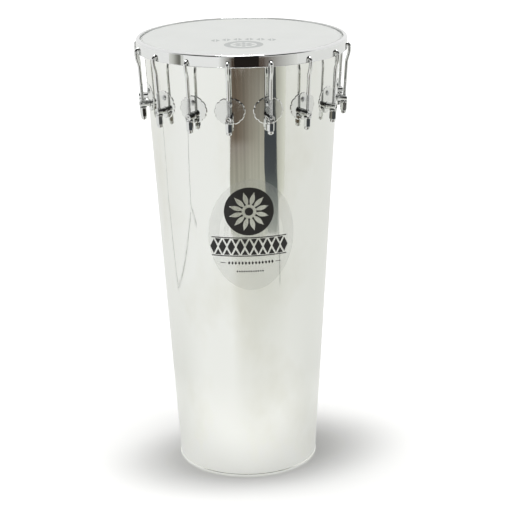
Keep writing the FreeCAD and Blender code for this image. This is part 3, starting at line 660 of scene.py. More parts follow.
def turned(name, points, steps, finish):
    """A closed outline, drawn anticlockwise in (radius, height) millimetres, and turned."""
    outline = mesh_of(name + "_outline", [(radius, 0, height)
                                          for radius, height in reversed(points)])
    return grow(name, outline, turned_rule, Steps_round=steps, Finish=finish)


# %% [markdown]
# **Set round the drum.** The start mesh is one lug's piece, drawn with x away from the wall
# and z up along it. The rule leans it, moves it to the wall, and sets a copy at each turn.

# %% The rule that sets copies round the drum
BASE_RADIUS, TOP_RADIUS, SHELL_HEIGHT, WALL, ROLL = 129.2, 177.3, 806.0, 1.5, 3.0
LUG_COUNT, LUG_STEP, FIRST_LUG = 16, 22.5, -75.0
LUG_RADIUS, LUG_HEIGHT, ROD_OUT = 170.9206, 696.5, 14.0
slope = (TOP_RADIUS - BASE_RADIUS) / (SHELL_HEIGHT - ROLL)
WALL_LEAN = math.atan(slope)


def rotation(tree, **turns):
    return put(tree, "FunctionNodeEulerToRotation", {
        0: put(tree, "ShaderNodeCombineXYZ", turns).outputs[0]}).outputs[0]


tree, given = new_rule("set_round_the_drum", {
    "Count": "Int", "First turn": "Float", "Step": "Float", "Lean": "Float",
    "Out": "Float", "Height": "Float"})
leaned = put(tree, "GeometryNodeTransform", {
    "Geometry": given["Geometry"],
    "Translation": put(tree, "ShaderNodeCombineXYZ", {
        "X": given["Out"], "Z": given["Height"]}).outputs[0],
    "Rotation": rotation(tree, Y=given["Lean"])})
index = put(tree, "GeometryNodeInputIndex").outputs[0]
turn = sum_of(tree, "ADD", product(tree, index, given["Step"]), given["First turn"])
spots = put(tree, "GeometryNodePoints", {"Count": given["Count"]})
copies = put(tree, "GeometryNodeInstanceOnPoints", {
    "Points": spots.outputs[0], "Instance": leaned.outputs[0],
    "Rotation": rotation(tree, Z=turn)})
round_rule = close_rule(tree, given, copies)


def repeated(name, start, finish, lean, out, height, first=0, count=LUG_COUNT):
    """Copies of a start mesh round the drum, each one leaned and moved out and up."""
    return grow(name, start, round_rule, Count=count,
                First_turn=math.radians(FIRST_LUG + first * LUG_STEP),
                Step=math.radians(LUG_STEP), Lean=lean, Out=out * MM, Height=height * MM,
                Finish=finish)


def set_round(name, start, finish, out=0.0, first=0, count=LUG_COUNT):
    """Copies of a start mesh, its origin this far off the wall, from lug number first on."""
    return repeated(name, start, finish, WALL_LEAN, LUG_RADIUS + out * math.cos(WALL_LEAN),
                    LUG_HEIGHT - out * math.sin(WALL_LEAN), first, count)


# %% [markdown]
# ## The shell
#
# One sheet of aluminium bent to a cone. At the foot a folded hem stands out by a millimetre
# and makes a bright thin line, and at the top the edge rolls inward, so that the film runs
# over a soft round. Straight edges get points held close to their ends, because a mirror
# shows the slightest error in the shading.

# %% The shell
HEM_STAND, HEM_HEIGHT, HEM_ROUND, HEM_SHOULDER = 1.2, 5.0, 1.0, 0.5
roll_height, roll_middle = SHELL_HEIGHT - ROLL, TOP_RADIUS - ROLL
hem_top = (BASE_RADIUS + slope * HEM_HEIGHT, HEM_HEIGHT)
hem_radius = BASE_RADIUS + HEM_STAND
hem_high = HEM_HEIGHT - HEM_SHOULDER

shell_points = [(BASE_RADIUS - WALL, 0.0), (hem_radius - HEM_ROUND, 0.0)]
shell_points += bend((hem_radius - HEM_ROUND, HEM_ROUND), HEM_ROUND, -90, 0, 5)[1:]
shell_points += run((hem_radius, HEM_ROUND), (hem_radius, hem_high))
shell_points += bend((hem_radius - HEM_SHOULDER, hem_high), HEM_SHOULDER, 0, 90, 4)
shell_points += [hem_top] + run(hem_top, (TOP_RADIUS, roll_height), 20)
shell_points += bend((roll_middle, roll_height), ROLL, 0, 180, 20)
shell_points += bend((roll_middle, roll_height), ROLL - WALL, 180, 0, 14)
shell_points += run((TOP_RADIUS - WALL, roll_height), (BASE_RADIUS - WALL, 0.0), 20)
shell = fit("shell_sheet", turned("shell_sheet", shell_points, 320, polished_shell), "drum",
            ["shell"], sharp=50)
print("shell faces", len(shell.data.polygons))

# %% [markdown]
# ## The rods
#
# Each rod is a round bar with a rolled thread on its lower part, an S-shaped jog that clears
# the hoop and a hook that turns in through the hoop's hole. The bar follows a line of points,
# and a third rule presses the thread into it: a point sinks by how far it lies from the
# thread's crest, which is a wave of its height and of its turn round the bar.

# %% The rule for a threaded bar
tree, given = new_rule("threaded_bar", {
    "Radius": "Float", "Sides": "Int", "Pitch": "Float", "Depth": "Float",
    "Thread top": "Float", "Tip": "Float", "Chamfer": "Float"})
line = put(tree, "GeometryNodeMeshToCurve", {"Mesh": given["Geometry"]})
ring = put(tree, "GeometryNodeCurvePrimitiveCircle", {
    "Resolution": given["Sides"], "Radius": given["Radius"]})
bar = put(tree, "GeometryNodeCurveToMesh", {
    "Curve": line.outputs[0], "Profile Curve": ring.outputs[0], "Fill Caps": True})
across = put(tree, "ShaderNodeSeparateXYZ", {
    0: put(tree, "GeometryNodeInputPosition").outputs[0]}).outputs
turn = sum_of(tree, "ARCTAN2", across["Y"], across["X"])
climb = product(tree, sum_of(tree, "DIVIDE", across["Z"], given["Pitch"]), 2 * math.pi)
wave = sum_of(tree, "COSINE", sum_of(tree, "SUBTRACT", climb, turn))
sink = product(tree, sum_of(tree, "SUBTRACT", wave, 1.0), 0.5)
turns_left = sum_of(tree, "DIVIDE", sum_of(tree, "SUBTRACT", given["Thread top"],
                                           across["Z"]), given["Pitch"])
room_left = put(tree, "ShaderNodeMath", {0: turns_left, 1: 1.0}, operation="MULTIPLY",
                use_clamp=True).outputs[0]
thread = product(tree, product(tree, sink, given["Depth"]), room_left)
from_tip = sum_of(tree, "SUBTRACT", across["Z"], given["Tip"])
pointed = sum_of(tree, "MINIMUM", sum_of(tree, "SUBTRACT", from_tip, given["Chamfer"]), 0.0)
deepest = sum_of(tree, "MINIMUM", thread, pointed)
outward = put(tree, "ShaderNodeVectorMath", {
    0: put(tree, "ShaderNodeCombineXYZ", {"X": across["X"], "Y": across["Y"]}).outputs[0]},
    operation="NORMALIZE")
below = sum_of(tree, "LESS_THAN", across["Z"], given["Thread top"])
push = put(tree, "ShaderNodeVectorMath", {
    0: outward.outputs[0], "Scale": product(tree, deepest, below)}, operation="SCALE")
pressed = put(tree, "GeometryNodeSetPosition", {
    "Geometry": bar.outputs[0], "Offset": push.outputs[0]})
threaded_rule = close_rule(tree, given, pressed)

# %% [markdown]
# The line of the bar has close points where the thread will be, six for each turn of the
# thread, and wider ones where it is plain. The jog is two equal arcs and the hook is one.

# %% The sixteen rods
ROD_RADIUS, ROD_BOTTOM, THREAD_TOP, PITCH = 3.175, -29.05, 34.0, 1.27
THREAD_DEPTH, TIP_CHAMFER, RINGS_A_TURN = 0.55, 0.8, 6
JOG_START, JOG_LENGTH, JOG_OUT, JOG_RADIUS = 63.6604, 25.0, 3.8179, 41.8805
HOOK_START, HOOK_BEND, HOOK_TIP = 93.9345, 5.0, 5.6

thread_rings = round((THREAD_TOP - ROD_BOTTOM) / PITCH * RINGS_A_TURN)
line_points = [(0.0, ROD_BOTTOM + (THREAD_TOP - ROD_BOTTOM) * ring / thread_rings)
               for ring in range(thread_rings + 1)]
line_points += run((0.0, THREAD_TOP), (0.0, JOG_START), 4, hold=0.5)
jog_turn = math.degrees(2 * math.atan2(JOG_OUT, JOG_LENGTH))
line_points += bend((JOG_RADIUS, JOG_START), JOG_RADIUS, 180, 180 - jog_turn, 8)
line_points += bend((JOG_OUT - JOG_RADIUS, JOG_START + JOG_LENGTH), JOG_RADIUS,
                    -jog_turn, 0, 8)[1:]
line_points += run((JOG_OUT, JOG_START + JOG_LENGTH), (JOG_OUT, HOOK_START))
hook_turn = 90 + math.degrees(WALL_LEAN)
line_points += bend((JOG_OUT - HOOK_BEND, HOOK_START), HOOK_BEND, 0, hook_turn, 12)
tip_end = at(line_points[-1], HOOK_TIP, math.radians(hook_turn + 90))
line_points += run(line_points[-1], tip_end, hold=0.4) + [tip_end]

rod_line = mesh_of("rod_line", [(out, 0, along) for out, along in line_points],
                   edges=[(index, index + 1) for index in range(len(line_points) - 1)])
bar_mesh = grow("threaded_bar", rod_line, threaded_rule, Radius=ROD_RADIUS * MM, Sides=24,
                Pitch=PITCH * MM, Depth=THREAD_DEPTH * MM, Thread_top=THREAD_TOP * MM,
                Tip=ROD_BOTTOM * MM, Chamfer=TIP_CHAMFER * MM, Finish=chrome)
for number in range(LUG_COUNT):
    label = "%02d" % (number + 1)
    mesh = set_round("hooked_rod_" + label, bar_mesh, chrome, ROD_OUT, number, 1)
    fit("hooked_rod_" + label, mesh, "rod_" + label, ["tension_rod_" + label],
        sharp=60)
print("rod faces", len(bar_mesh.polygons))

# %% [markdown]
# ## The tuning nuts
#
# A tuning nut is turned from hexagon bar: a collar at the top, six flats, a narrow neck and
# a round end. Where a turned chamfer meets the flats it leaves small curved scallops, so at
# each turn the radius is the smaller one of the flat's and of the lathe's. A nut stays where
# tuning left it; here each of them shows one flat a little to the right of the front.

# %% The sixteen nuts
NUT_FLATS, NUT_TOP, NUT_BOTTOM, NUT_BORE, BORE_CHAMFER = 11.1, -6.55, -27.55, 3.225, 0.4
COLLAR_RADIUS, COLLAR_HEIGHT, NECK_RADIUS, NECK_HEIGHT = 6.4, 1.4, 4.4, 1.1
END_RADIUS, END_HEIGHT, NUT_CHAMFER, EDGE = 5.1, 4.0, 0.7, 0.25
NUT_STEPS, SCALLOP_STEPS, FLAT_FACING, FACING_DRIFT = 60, 6, -74.0, 22.0
nut_corner = NUT_FLATS / math.sqrt(3)
neck_low = NUT_BOTTOM + END_HEIGHT
neck_top = neck_low + NECK_HEIGHT
under_collar = NUT_TOP - COLLAR_HEIGHT


def band(low, high, count):
    """The faces between two closed rings of points that start at these numbers."""
    return [(low + step, low + (step + 1) % count, high + (step + 1) % count, high + step)
            for step in range(count)]


lathe_rows = [(NUT_BORE, NUT_BOTTOM + BORE_CHAMFER), (NUT_BORE + BORE_CHAMFER, NUT_BOTTOM),
              (END_RADIUS - NUT_CHAMFER, NUT_BOTTOM), (END_RADIUS, NUT_BOTTOM + NUT_CHAMFER),
              (END_RADIUS, NUT_BOTTOM + NUT_CHAMFER + EDGE), (END_RADIUS, neck_low - EDGE),
              (END_RADIUS - EDGE, neck_low), (NECK_RADIUS + EDGE, neck_low),
              (NECK_RADIUS, neck_low + EDGE), (NECK_RADIUS, neck_top - EDGE),
              (NECK_RADIUS + EDGE, neck_top), (NUT_FLATS / 2 - EDGE, neck_top)]
lathe_rows += [(NUT_FLATS / 2 + (nut_corner - NUT_FLATS / 2) * step / SCALLOP_STEPS,
                neck_top + NUT_CHAMFER * step / SCALLOP_STEPS)
               for step in range(SCALLOP_STEPS + 1)]
lathe_rows += run((nut_corner, neck_top + NUT_CHAMFER), (nut_corner, under_collar), 3)
lathe_rows += [(nut_corner - 0.01, under_collar), (COLLAR_RADIUS - EDGE, under_collar),
               (COLLAR_RADIUS, under_collar + EDGE), (COLLAR_RADIUS, NUT_TOP - EDGE),
               (COLLAR_RADIUS - EDGE, NUT_TOP), (NUT_BORE + BORE_CHAMFER, NUT_TOP),
               (NUT_BORE, NUT_TOP - BORE_CHAMFER)]
corners, faces = [], []
for row_number, (lathe_radius, height) in enumerate(lathe_rows):
    on_flats = neck_top <= height <= under_collar and lathe_radius > NUT_FLATS / 2 - 2 * EDGE
    for step in range(NUT_STEPS):
        turn = 2 * math.pi * step / NUT_STEPS
        from_flat = (turn + math.pi / 6) % (math.pi / 3) - math.pi / 6
        flat_radius = NUT_FLATS / 2 / math.cos(from_flat)
        radius = min(lathe_radius, flat_radius) if on_flats else lathe_radius
        corners.append((radius * math.cos(turn), radius * math.sin(turn), height))
    faces += band(row_number * NUT_STEPS, (row_number + 1) % len(lathe_rows) * NUT_STEPS,
                  NUT_STEPS)
nut_mesh = mesh_of("tuning_nut", corners, faces)
for number in range(LUG_COUNT):
    label = "%02d" % (number + 1)
    lug_turn = FIRST_LUG + number * LUG_STEP
    flat_turn = FLAT_FACING - FACING_DRIFT * (LUG_RADIUS + ROD_OUT) * MM * math.cos(
        math.radians(lug_turn))
    tuned = nut_mesh.copy()
    tuned.transform(Matrix.Rotation(math.radians(flat_turn - lug_turn), 4, "Z"))
    mesh = set_round("long_nut_" + label, tuned, turned_chrome, ROD_OUT, number, 1)
    fit("long_nut_" + label, mesh, "nut_" + label, ["tuning_nut_" + label],
        sharp=24)
print("nut faces", len(nut_mesh.polygons))

# %% [markdown]
# ## Posts, dome bolts and washers of the lugs
#
# The post is a turned barrel square to the wall. A lathe makes its foot, its chamfer and the
# shallow recess with a round nub in its end, a drill makes the hole that the rod slides in,
# and a mill takes a flat off its underside for the washer. The same three steps are done
# here: the outline is turned, then a boolean takes the hole and the flat away, before the
# rule sets it round.


# %% Turned pieces that point away from the wall
def pointed_out(name, points, steps, finish, rise=0.0):
    """A turned mesh whose axis is the wall's normal, this far up the wall."""
    mesh = turned(name, points, steps, finish)
    for corner in mesh.vertices:
        across, side, out = corner.co
        corner.co = (out, side, rise * MM - across)
    return mesh


def cut_away(name, mesh, tools):
    """The mesh with closed tool meshes taken away from it."""
    whole = add_object(name + "_whole", mesh)
    helpers = [add_object(name + "_tool", tool) for tool in tools]
    for helper in helpers:
        cut = whole.modifiers.new("cut", "BOOLEAN")
        cut.operation, cut.solver, cut.object = "DIFFERENCE", "EXACT", helper
    result = bpy.data.meshes.new_from_object(
        whole.evaluated_get(bpy.context.evaluated_depsgraph_get()))
    for helper in helpers + [whole]:
        bpy.data.objects.remove(helper)
    return result


POST_FOOT, POST_STAND, POST_RADIUS, FOOT_RADIUS, FOOT_HEIGHT = 1.7, 19.5, 6.0, 6.8, 1.4
POST_CHAMFER, RECESS_RADIUS, RECESS_DEPTH, POST_FLAT = 0.9, 4.1, 1.5, 5.2
FOOT_BREAK, FOOT_ROUND, FILLET, RECESS_LIP, RECESS_ROUND = 0.3, 0.5, 0.2, 0.3, 0.4
NUB_RADIUS, NUB_RISE = 2.6, 0.9
ROD_HOLE, THREAD_END, SCREW_BORE, DRILL_HALF = 3.575, 9.9, 2.55, 12.0
MILL_RADIUS, MILL_END = 40.0, 30.0
foot_face = POST_FOOT + FOOT_HEIGHT
recess_floor = POST_STAND - RECESS_DEPTH

post_points = [(SCREW_BORE, POST_FOOT), (FOOT_RADIUS - FOOT_BREAK, POST_FOOT),
               (FOOT_RADIUS, POST_FOOT + FOOT_BREAK)]
post_points += bend((FOOT_RADIUS - FOOT_ROUND, foot_face - FOOT_ROUND), FOOT_ROUND, 0, 90, 4)
post_points += bend((POST_RADIUS + FILLET, foot_face + FILLET), FILLET, 270, 180, 3)
post_points += run((POST_RADIUS, foot_face + FILLET),
                   (POST_RADIUS, POST_STAND - POST_CHAMFER), 2)
post_points += bend((POST_RADIUS - POST_CHAMFER, POST_STAND - POST_CHAMFER), POST_CHAMFER,
                    0, 90, 6)
post_points += bend((RECESS_RADIUS + RECESS_LIP, POST_STAND - RECESS_LIP), RECESS_LIP,
                    90, 180, 4)
post_points += bend((RECESS_RADIUS - RECESS_ROUND, recess_floor + RECESS_ROUND), RECESS_ROUND,
                    0, -90, 4)
nub_round = (NUB_RADIUS ** 2 + NUB_RISE ** 2) / (2 * NUB_RISE)
nub_edge = math.degrees(math.acos(NUB_RADIUS / nub_round))
post_points += bend((0.0, recess_floor + NUB_RISE - nub_round), nub_round, nub_edge, 90, 8)
post_points[-1] = (0.0, recess_floor + NUB_RISE)
post_points += [(0.0, THREAD_END), (SCREW_BORE, THREAD_END)]
post_mesh = pointed_out("post", post_points, 64, turned_chrome)


def cylinder(name, radius, low, high, steps, finish):
    return turned(name, [(0.0, low), (radius, low), (radius, high), (0.0, high)], steps, finish)


drill = cylinder("drill", ROD_HOLE, -DRILL_HALF, DRILL_HALF, 48, turned_chrome)
for corner in drill.vertices:
    corner.co.x += ROD_OUT * MM
mill = cylinder("mill", MILL_RADIUS, foot_face, MILL_END, 4, turned_chrome)
mill_reach = MILL_RADIUS / math.sqrt(2)
for corner in mill.vertices:
    across, side, out = corner.co
    square = (across + side) / math.sqrt(2), (side - across) / math.sqrt(2)
    corner.co = (out, square[1], square[0] - (POST_FLAT + mill_reach) * MM)
post_mesh = cut_away("post", post_mesh, [drill, mill])
posts = fit("post_barrels", set_round("post_barrels", post_mesh, turned_chrome), "drum",
            ["lug_posts"], sharp=28)
print("post faces", len(posts.data.polygons))

# %% [markdown]
# The dome-headed bolt closes the plate above the post. Its head is a shallow dome on a thin
# rim, and its shank runs through the wall to a nut inside. A plain ring washer sits under
# each post, between the milled flat and the tuning nut.

# %% Dome bolts and rod washers
DOME_RISE, DOME_RADIUS, DOME_HEIGHT, DOME_BREAK = 22.5, 5.0, 2.0, 0.15
DOME_FOOT, RIM_TOP, SHANK_RADIUS, SHANK_END, SHANK_CHAMFER = 0.9, 2.1, 3.0, -9.3973, 0.5
dome_round = (DOME_RADIUS ** 2 + DOME_HEIGHT ** 2) / (2 * DOME_HEIGHT)
dome_centre = RIM_TOP + DOME_HEIGHT - dome_round
dome_edge = math.degrees(math.asin((RIM_TOP - dome_centre) / dome_round))
shank_low = (SHANK_RADIUS, SHANK_END + SHANK_CHAMFER)
dome_points = [(0.0, SHANK_END), (SHANK_RADIUS - SHANK_CHAMFER, SHANK_END), shank_low]
dome_points += run(shank_low, (SHANK_RADIUS, DOME_FOOT))
dome_points += [(SHANK_RADIUS, DOME_FOOT), (DOME_RADIUS - DOME_BREAK, DOME_FOOT),
                (DOME_RADIUS, DOME_FOOT + DOME_BREAK)]
dome_points += bend((0.0, dome_centre), dome_round, dome_edge + 1.5, 90, 14)
dome_points[-1] = (0.0, RIM_TOP + DOME_HEIGHT)
dome_mesh = pointed_out("dome_bolt", dome_points, 48, satin_chrome, DOME_RISE)
domes = fit("dome_bolt_heads", set_round("dome_bolt_heads", dome_mesh, satin_chrome), "drum",
            ["dome_bolts"], sharp=40)

WASHER_TOP, WASHER_BOTTOM, WASHER_RADIUS, WASHER_ROUND = -5.25, -6.25, 6.8, 0.3
washer_side = WASHER_RADIUS - WASHER_ROUND
washer_points = [(ROD_HOLE, WASHER_BOTTOM), (washer_side, WASHER_BOTTOM)]
washer_points += bend((washer_side, WASHER_BOTTOM + WASHER_ROUND), WASHER_ROUND, -90, 0, 3)[1:]
washer_points += bend((washer_side, WASHER_TOP - WASHER_ROUND), WASHER_ROUND, 0, 90, 3)
washer_points += [(ROD_HOLE, WASHER_TOP)]
washer_mesh = turned("rod_washer", washer_points, 40, turned_chrome)
washers = fit("rod_washer_rings", set_round("rod_washer_rings", washer_mesh, turned_chrome,
                                            ROD_OUT),
              "drum", ["rod_washers"], sharp=40)
print("dome faces", len(domes.data.polygons), "washer faces", len(washers.data.polygons))

# %% [markdown]
# ## Things that lie on the wall
#
# The lug plates, the clear film and its print are all flat things bent round the cone. They
# are drawn flat, as (sideways, up, off the wall), and a fourth rule bends them: how far a
# point lies sideways becomes a turn round the drum, and how far it lies up becomes a way
# along the leaning wall.

# %% The rule that bends a flat piece to the wall
tree, given = new_rule("bent_to_the_wall", {
    "Wall radius": "Float", "Height": "Float", "Lean": "Float", "Facing": "Float"})
flat = put(tree, "ShaderNodeSeparateXYZ", {
    0: put(tree, "GeometryNodeInputPosition").outputs[0]}).outputs
lean_sine = sum_of(tree, "SINE", given["Lean"])
lean_cosine = sum_of(tree, "COSINE", given["Lean"])
wall_here = sum_of(tree, "ADD", given["Wall radius"], product(tree, flat["Y"], lean_sine))
out_here = sum_of(tree, "ADD", wall_here, product(tree, flat["Z"], lean_cosine))
high_here = sum_of(tree, "SUBTRACT", product(tree, flat["Y"], lean_cosine),
                   product(tree, flat["Z"], lean_sine))
on_wall = put(tree, "ShaderNodeCombineXYZ", {
    "X": out_here, "Z": sum_of(tree, "ADD", high_here, given["Height"])}).outputs[0]
turn = sum_of(tree, "ADD", sum_of(tree, "DIVIDE", flat["X"], wall_here), given["Facing"])
wrapped = put(tree, "ShaderNodeVectorRotate", {"Vector": on_wall, "Angle": turn},
              rotation_type="Z_AXIS").outputs[0]
bent_rule = close_rule(tree, given, put(tree, "GeometryNodeSetPosition", {
    "Geometry": given["Geometry"], "Position": wrapped}))


def rings_between(rings):
    """Corners and faces of rings of equal length, joined one to the next and closed at both
    ends by a fan."""
    count = len(rings[0])
    corners = [corner for ring in rings for corner in ring]
    faces = []
    for number in range(len(rings) - 1):
        faces += band(number * count, (number + 1) * count, count)
    for ring_start, backwards in ((0, True), ((len(rings) - 1) * count, False)):
        corners.append(tuple(sum(corners[ring_start + step][axis] for step in range(count))
                             / count for axis in range(3)))
        for step in range(count):
            face = (ring_start + step, ring_start + (step + 1) % count, len(corners) - 1)
            faces.append(face[::-1] if backwards else face)
    return corners, faces


# %% [markdown]
# ## The lug plates
#
# The plate is a thin rosette with twelve shallow lobes. A stamped edge rolls down a little
# towards the wall, which gives each plate its bright rim. Rings of the outline, each one
# further in, follow that section from the back of the plate over the edge to its face. The
# face leans back by about a degree, so that the plate thins towards its top.

# %% The lug plates
PLATE_WIDE, PLATE_HIGH, PLATE_RISE, SCALLOP, LOBES, LOBE_RADIUS = 27.0, 24.3, 10.5, 1.5, 12, 5.13
PLATE_BACK, PLATE_FRONT, PLATE_EDGE, EDGE_RUN, PLATE_DROP = 0.05, 1.65, 0.45, 1.9, 0.018
BACK_BREAK, BACK_INSETS, FACE_INSETS = 0.15, (18.0, 10.0, 4.0, 0.6, 0.15), (2.8, 6.0, 10.0,
                                                                            15.0, 19.0)


def lobe_points(steps=6):
    """The plate's outline: two arcs for each lobe, from valley to peak to valley."""
    points = []
    spots = []
    for index in range(2 * LOBES):
        turn = math.pi * index / LOBES
        shrink = SCALLOP if index % 2 else 0.0
        spots.append(((PLATE_WIDE - shrink) * math.sin(turn),
                      (PLATE_HIGH - shrink) * math.cos(turn)))
    for start, end in zip(spots, spots[1:] + spots[:1]):
        chord = math.dist(start, end)
        middle = [(a + b) / 2 for a, b in zip(start, end)]
        reach = math.sqrt(LOBE_RADIUS ** 2 - chord ** 2 / 4)
        side = ((start[1] - end[1]) / chord, (end[0] - start[0]) / chord)
        inward = -1 if side[0] * middle[0] + side[1] * middle[1] > 0 else 1
        centre = [m + inward * reach * s for m, s in zip(middle, side)]
        first = math.atan2(start[1] - centre[1], start[0] - centre[0])
        sweep = math.atan2(end[1] - centre[1], end[0] - centre[0]) - first
        sweep = (sweep + math.pi) % (2 * math.pi) - math.pi
        points += [at(centre, LOBE_RADIUS, first + sweep * step / steps)
                   for step in range(steps)]
    return points[::-1]


def inset_ring(points, inset, off):
    """The outline drawn in by inset millimetres, at one distance off the wall."""
    ring = []
    for x, y in points:
        share = 1 - inset / math.hypot(x, y)
        thinner = (y * share + PLATE_HIGH) * PLATE_DROP * (off - PLATE_BACK) / PLATE_FRONT
        ring.append((x * share, y * share + PLATE_RISE, off - thinner))
    return ring


lobes = lobe_points()
plate_rings = [inset_ring(lobes, inset, PLATE_BACK) for inset in BACK_INSETS]
plate_rings += [inset_ring(lobes, 0.0, off) for off in (PLATE_BACK + BACK_BREAK, PLATE_EDGE)]
for step in range(1, 9):
    share = step / 8
    off = PLATE_EDGE + (PLATE_FRONT - PLATE_EDGE) * math.sin(share * math.pi / 2)
    plate_rings.append(inset_ring(lobes, 0.1 + EDGE_RUN * share ** 1.3, off))
plate_rings += [inset_ring(lobes, inset, PLATE_FRONT) for inset in FACE_INSETS]
plate_bent = grow("plate_bent", mesh_of("plate_flat", *rings_between(plate_rings)), bent_rule,
                  Wall_radius=LUG_RADIUS * MM, Height=LUG_HEIGHT * MM, Lean=WALL_LEAN,
                  Facing=0.0, Finish=bright_plate)
plates = fit("rosette_plates", repeated("rosette_plates", plate_bent, bright_plate, 0.0, 0.0,
                                        0.0),
             "drum", ["lug_plates"], sharp=35)
print("plate faces", len(plates.data.polygons))

# %% [markdown]
# ## The oval film and its print
#
# The film is clear and only shows by its haze and its cut edge. The print on it is a generic
# one: a dark disc with a clear flower, a band of lozenges and triangles, and two short rows
# of small lozenges. Each shape is a very thin raised layer, as thick screen ink is, cut into
# small steps so that it can bend with the wall.

# %% The clear oval film
DECAL_HALF_WIDE, DECAL_HALF_HIGH, DECAL_HEIGHT, DECAL_TURN = 76.0, 104.0, 480.0, 4.5
DECAL_GAP, DECAL_THICK, INK_LIFT, INK_THICK, CUT_EDGE = 0.15, 0.2, 0.01, 0.06, 0.1
BACK_SHARES = (0.05, 0.2, 0.4, 0.6, 0.8, 0.95, 1.0)
FACE_SHARES = (0.99, 0.9, 0.8, 0.7, 0.6, 0.5, 0.4, 0.3, 0.2, 0.1, 0.04)
film_face = DECAL_GAP + DECAL_THICK
decal_radius = BASE_RADIUS + slope * DECAL_HEIGHT
facing_front = math.radians(DECAL_TURN - 90)


def oval_ring(half_wide, half_high, off, steps=96):
    """An oval seen straight from the front, laid out flat along the wall."""
    ring = []
    for step in range(steps):
        turn = 2 * math.pi * step / steps
        up = half_high * math.sin(turn) / math.cos(WALL_LEAN)
        here = decal_radius + up * math.sin(WALL_LEAN)
        ring.append((here * math.asin(half_wide * math.cos(turn) / here), up, off))
    return ring


def oval_rings(shares, off):
    return [oval_ring(DECAL_HALF_WIDE * share, DECAL_HALF_HIGH * share, off)
            for share in shares]


def bend_to_front(name, flat_mesh, finish):
    return grow(name, flat_mesh, bent_rule, Wall_radius=decal_radius * MM,
                Height=DECAL_HEIGHT * MM, Lean=WALL_LEAN, Facing=facing_front, Finish=finish)


film_rings = oval_rings(BACK_SHARES, DECAL_GAP)
film_rings += [oval_ring(DECAL_HALF_WIDE - inset, DECAL_HALF_HIGH - inset, off)
               for inset, off in ((0.0, DECAL_GAP + CUT_EDGE), (CUT_EDGE, film_face))]
film_rings += oval_rings(FACE_SHARES, film_face)
fit("clear_oval_film", bend_to_front("clear_oval_film", mesh_of(
    "film_flat", *rings_between(film_rings)), clear_film), "drum", ["shell_decal"],
    sharp=40)


# %% [markdown]
# Each printed shape is a closed outline that is filled by rings towards its middle, given a
# thickness, and joined with the others to one mesh.


# %% Shapes of the print
def ink_block(points, low, high, rings=4):
    """Rings of one printed shape, from its under side over its edge to its middle."""
    middle = [sum(point[axis] for point in points) / len(points) for axis in (0, 1)]
    shares = [step / rings for step in range(1, rings)]
    under = [[(middle[0] + (x - middle[0]) * share, middle[1] + (y - middle[1]) * share, low)
              for x, y in points] for share in shares]
    over = [[(x, y, high) for x, y, _ in ring] for ring in reversed(under)]
    return under + [[(x, y, low) for x, y in points], [(x, y, high) for x, y in points]] + over


def edge_points(corners, spacing=3.0):
    """A straight-sided outline with a point at least every few millimetres."""
    points = []
    for start, end in zip(corners, corners[1:] + corners[:1]):
        count = max(1, round(math.dist(start, end) / spacing))
        points += [tuple(a + (b - a) * step / count for a, b in zip(start, end))
                   for step in range(count)]
    return points


def lozenge(x, y, half_wide, half_tall):
    return edge_points([(x - half_wide, y), (x, y - half_tall), (x + half_wide, y),
                        (x, y + half_tall)])


def bar_points(left, right, low, high):
    return edge_points([(left, low), (right, low), (right, high), (left, high)])


def disc_points(centre, radius, steps):
    return [at(centre, radius, 2 * math.pi * step / steps) for step in range(steps)]


def petal_points(centre, turn, near, far, half_wide, steps=12):
    """A leaf shape that points away from a centre."""
    points = []
    for side, order in ((1, range(steps)), (-1, range(steps, 0, -1))):
        for step in order:
            share = step / steps
            along = near + (far - near) * share
            across = side * half_wide * math.sin(math.pi * share) ** 0.8
            points.append((centre[0] + along * math.cos(turn) + across * math.sin(turn),
                           centre[1] + along * math.sin(turn) - across * math.cos(turn)))
    return points


def print_mesh(name, blocks, hoops, low, high):
    """One mesh of filled shapes and of open rings (centre, inner and outer radius)."""
    corners, faces = [], []
    for points in blocks:
        spots, patches = rings_between(ink_block(points, low, high))
        faces += [tuple(len(corners) + spot for spot in patch) for patch in patches]
        corners += spots
    for centre, inner, outer, steps in hoops:
        start = len(corners)
        for radius, off in ((inner, low), (outer, low), (outer, high), (inner, high)):
            corners += [(x, y, off) for x, y in disc_points(centre, radius, steps)]
        for part in range(4):
            faces += band(start + part * steps, start + (part + 1) % 4 * steps, steps)
    return mesh_of(name, corners, faces)


# %% The print on the shell
FLOWER, PETALS, HEART = (-4.6, 44.5), 12, 7.4
RING_OUT, RING_IN, PETAL_NEAR, PETAL_FAR, PETAL_HALF = 44.5, 36.6, 11.0, 35.0, 4.3
BAND_LOW, BAND_HIGH, BAND_LEFT, BAND_RIGHT, PARTS = -40.0, -4.0, -77.0, 68.0, 9
LINE_THICK, LINE_SHORT, LOZENGE_GAP, LOZENGE_MARGIN = 1.6, 4, 1.4, 4.5
TIP_FROM_MIDDLE, FOOT_FROM_EDGE, FOOT_GAP = 5.0, 3.0, 1.2
SMALL_ROWS, SMALL_SHARE = [(-52.5, -2.0, 42.0, 3.4, 14), (-68.5, -3.5, 25.0, 2.1, 12)], 0.36
DASHES, DASH_LOW, DASH_HIGH = ((-57.0, -47.0), (43.0, 53.0)), -52.9, -52.1


def between_petals(turn):
    """The dark shape between two petals, from the flower's middle out to the ring."""
    half_step = math.pi / PETALS
    one, other = (petal_points(FLOWER, turn + sign * half_step, PETAL_NEAR, PETAL_FAR,
                               PETAL_HALF) for sign in (-1, 1))
    far_side = [at(FLOWER, RING_IN, turn + half_step * share)
                for share in (-0.97, -0.5, 0.0, 0.5, 0.97)]
    return one[13:][::-1] + far_side + other[1:12][::-1]


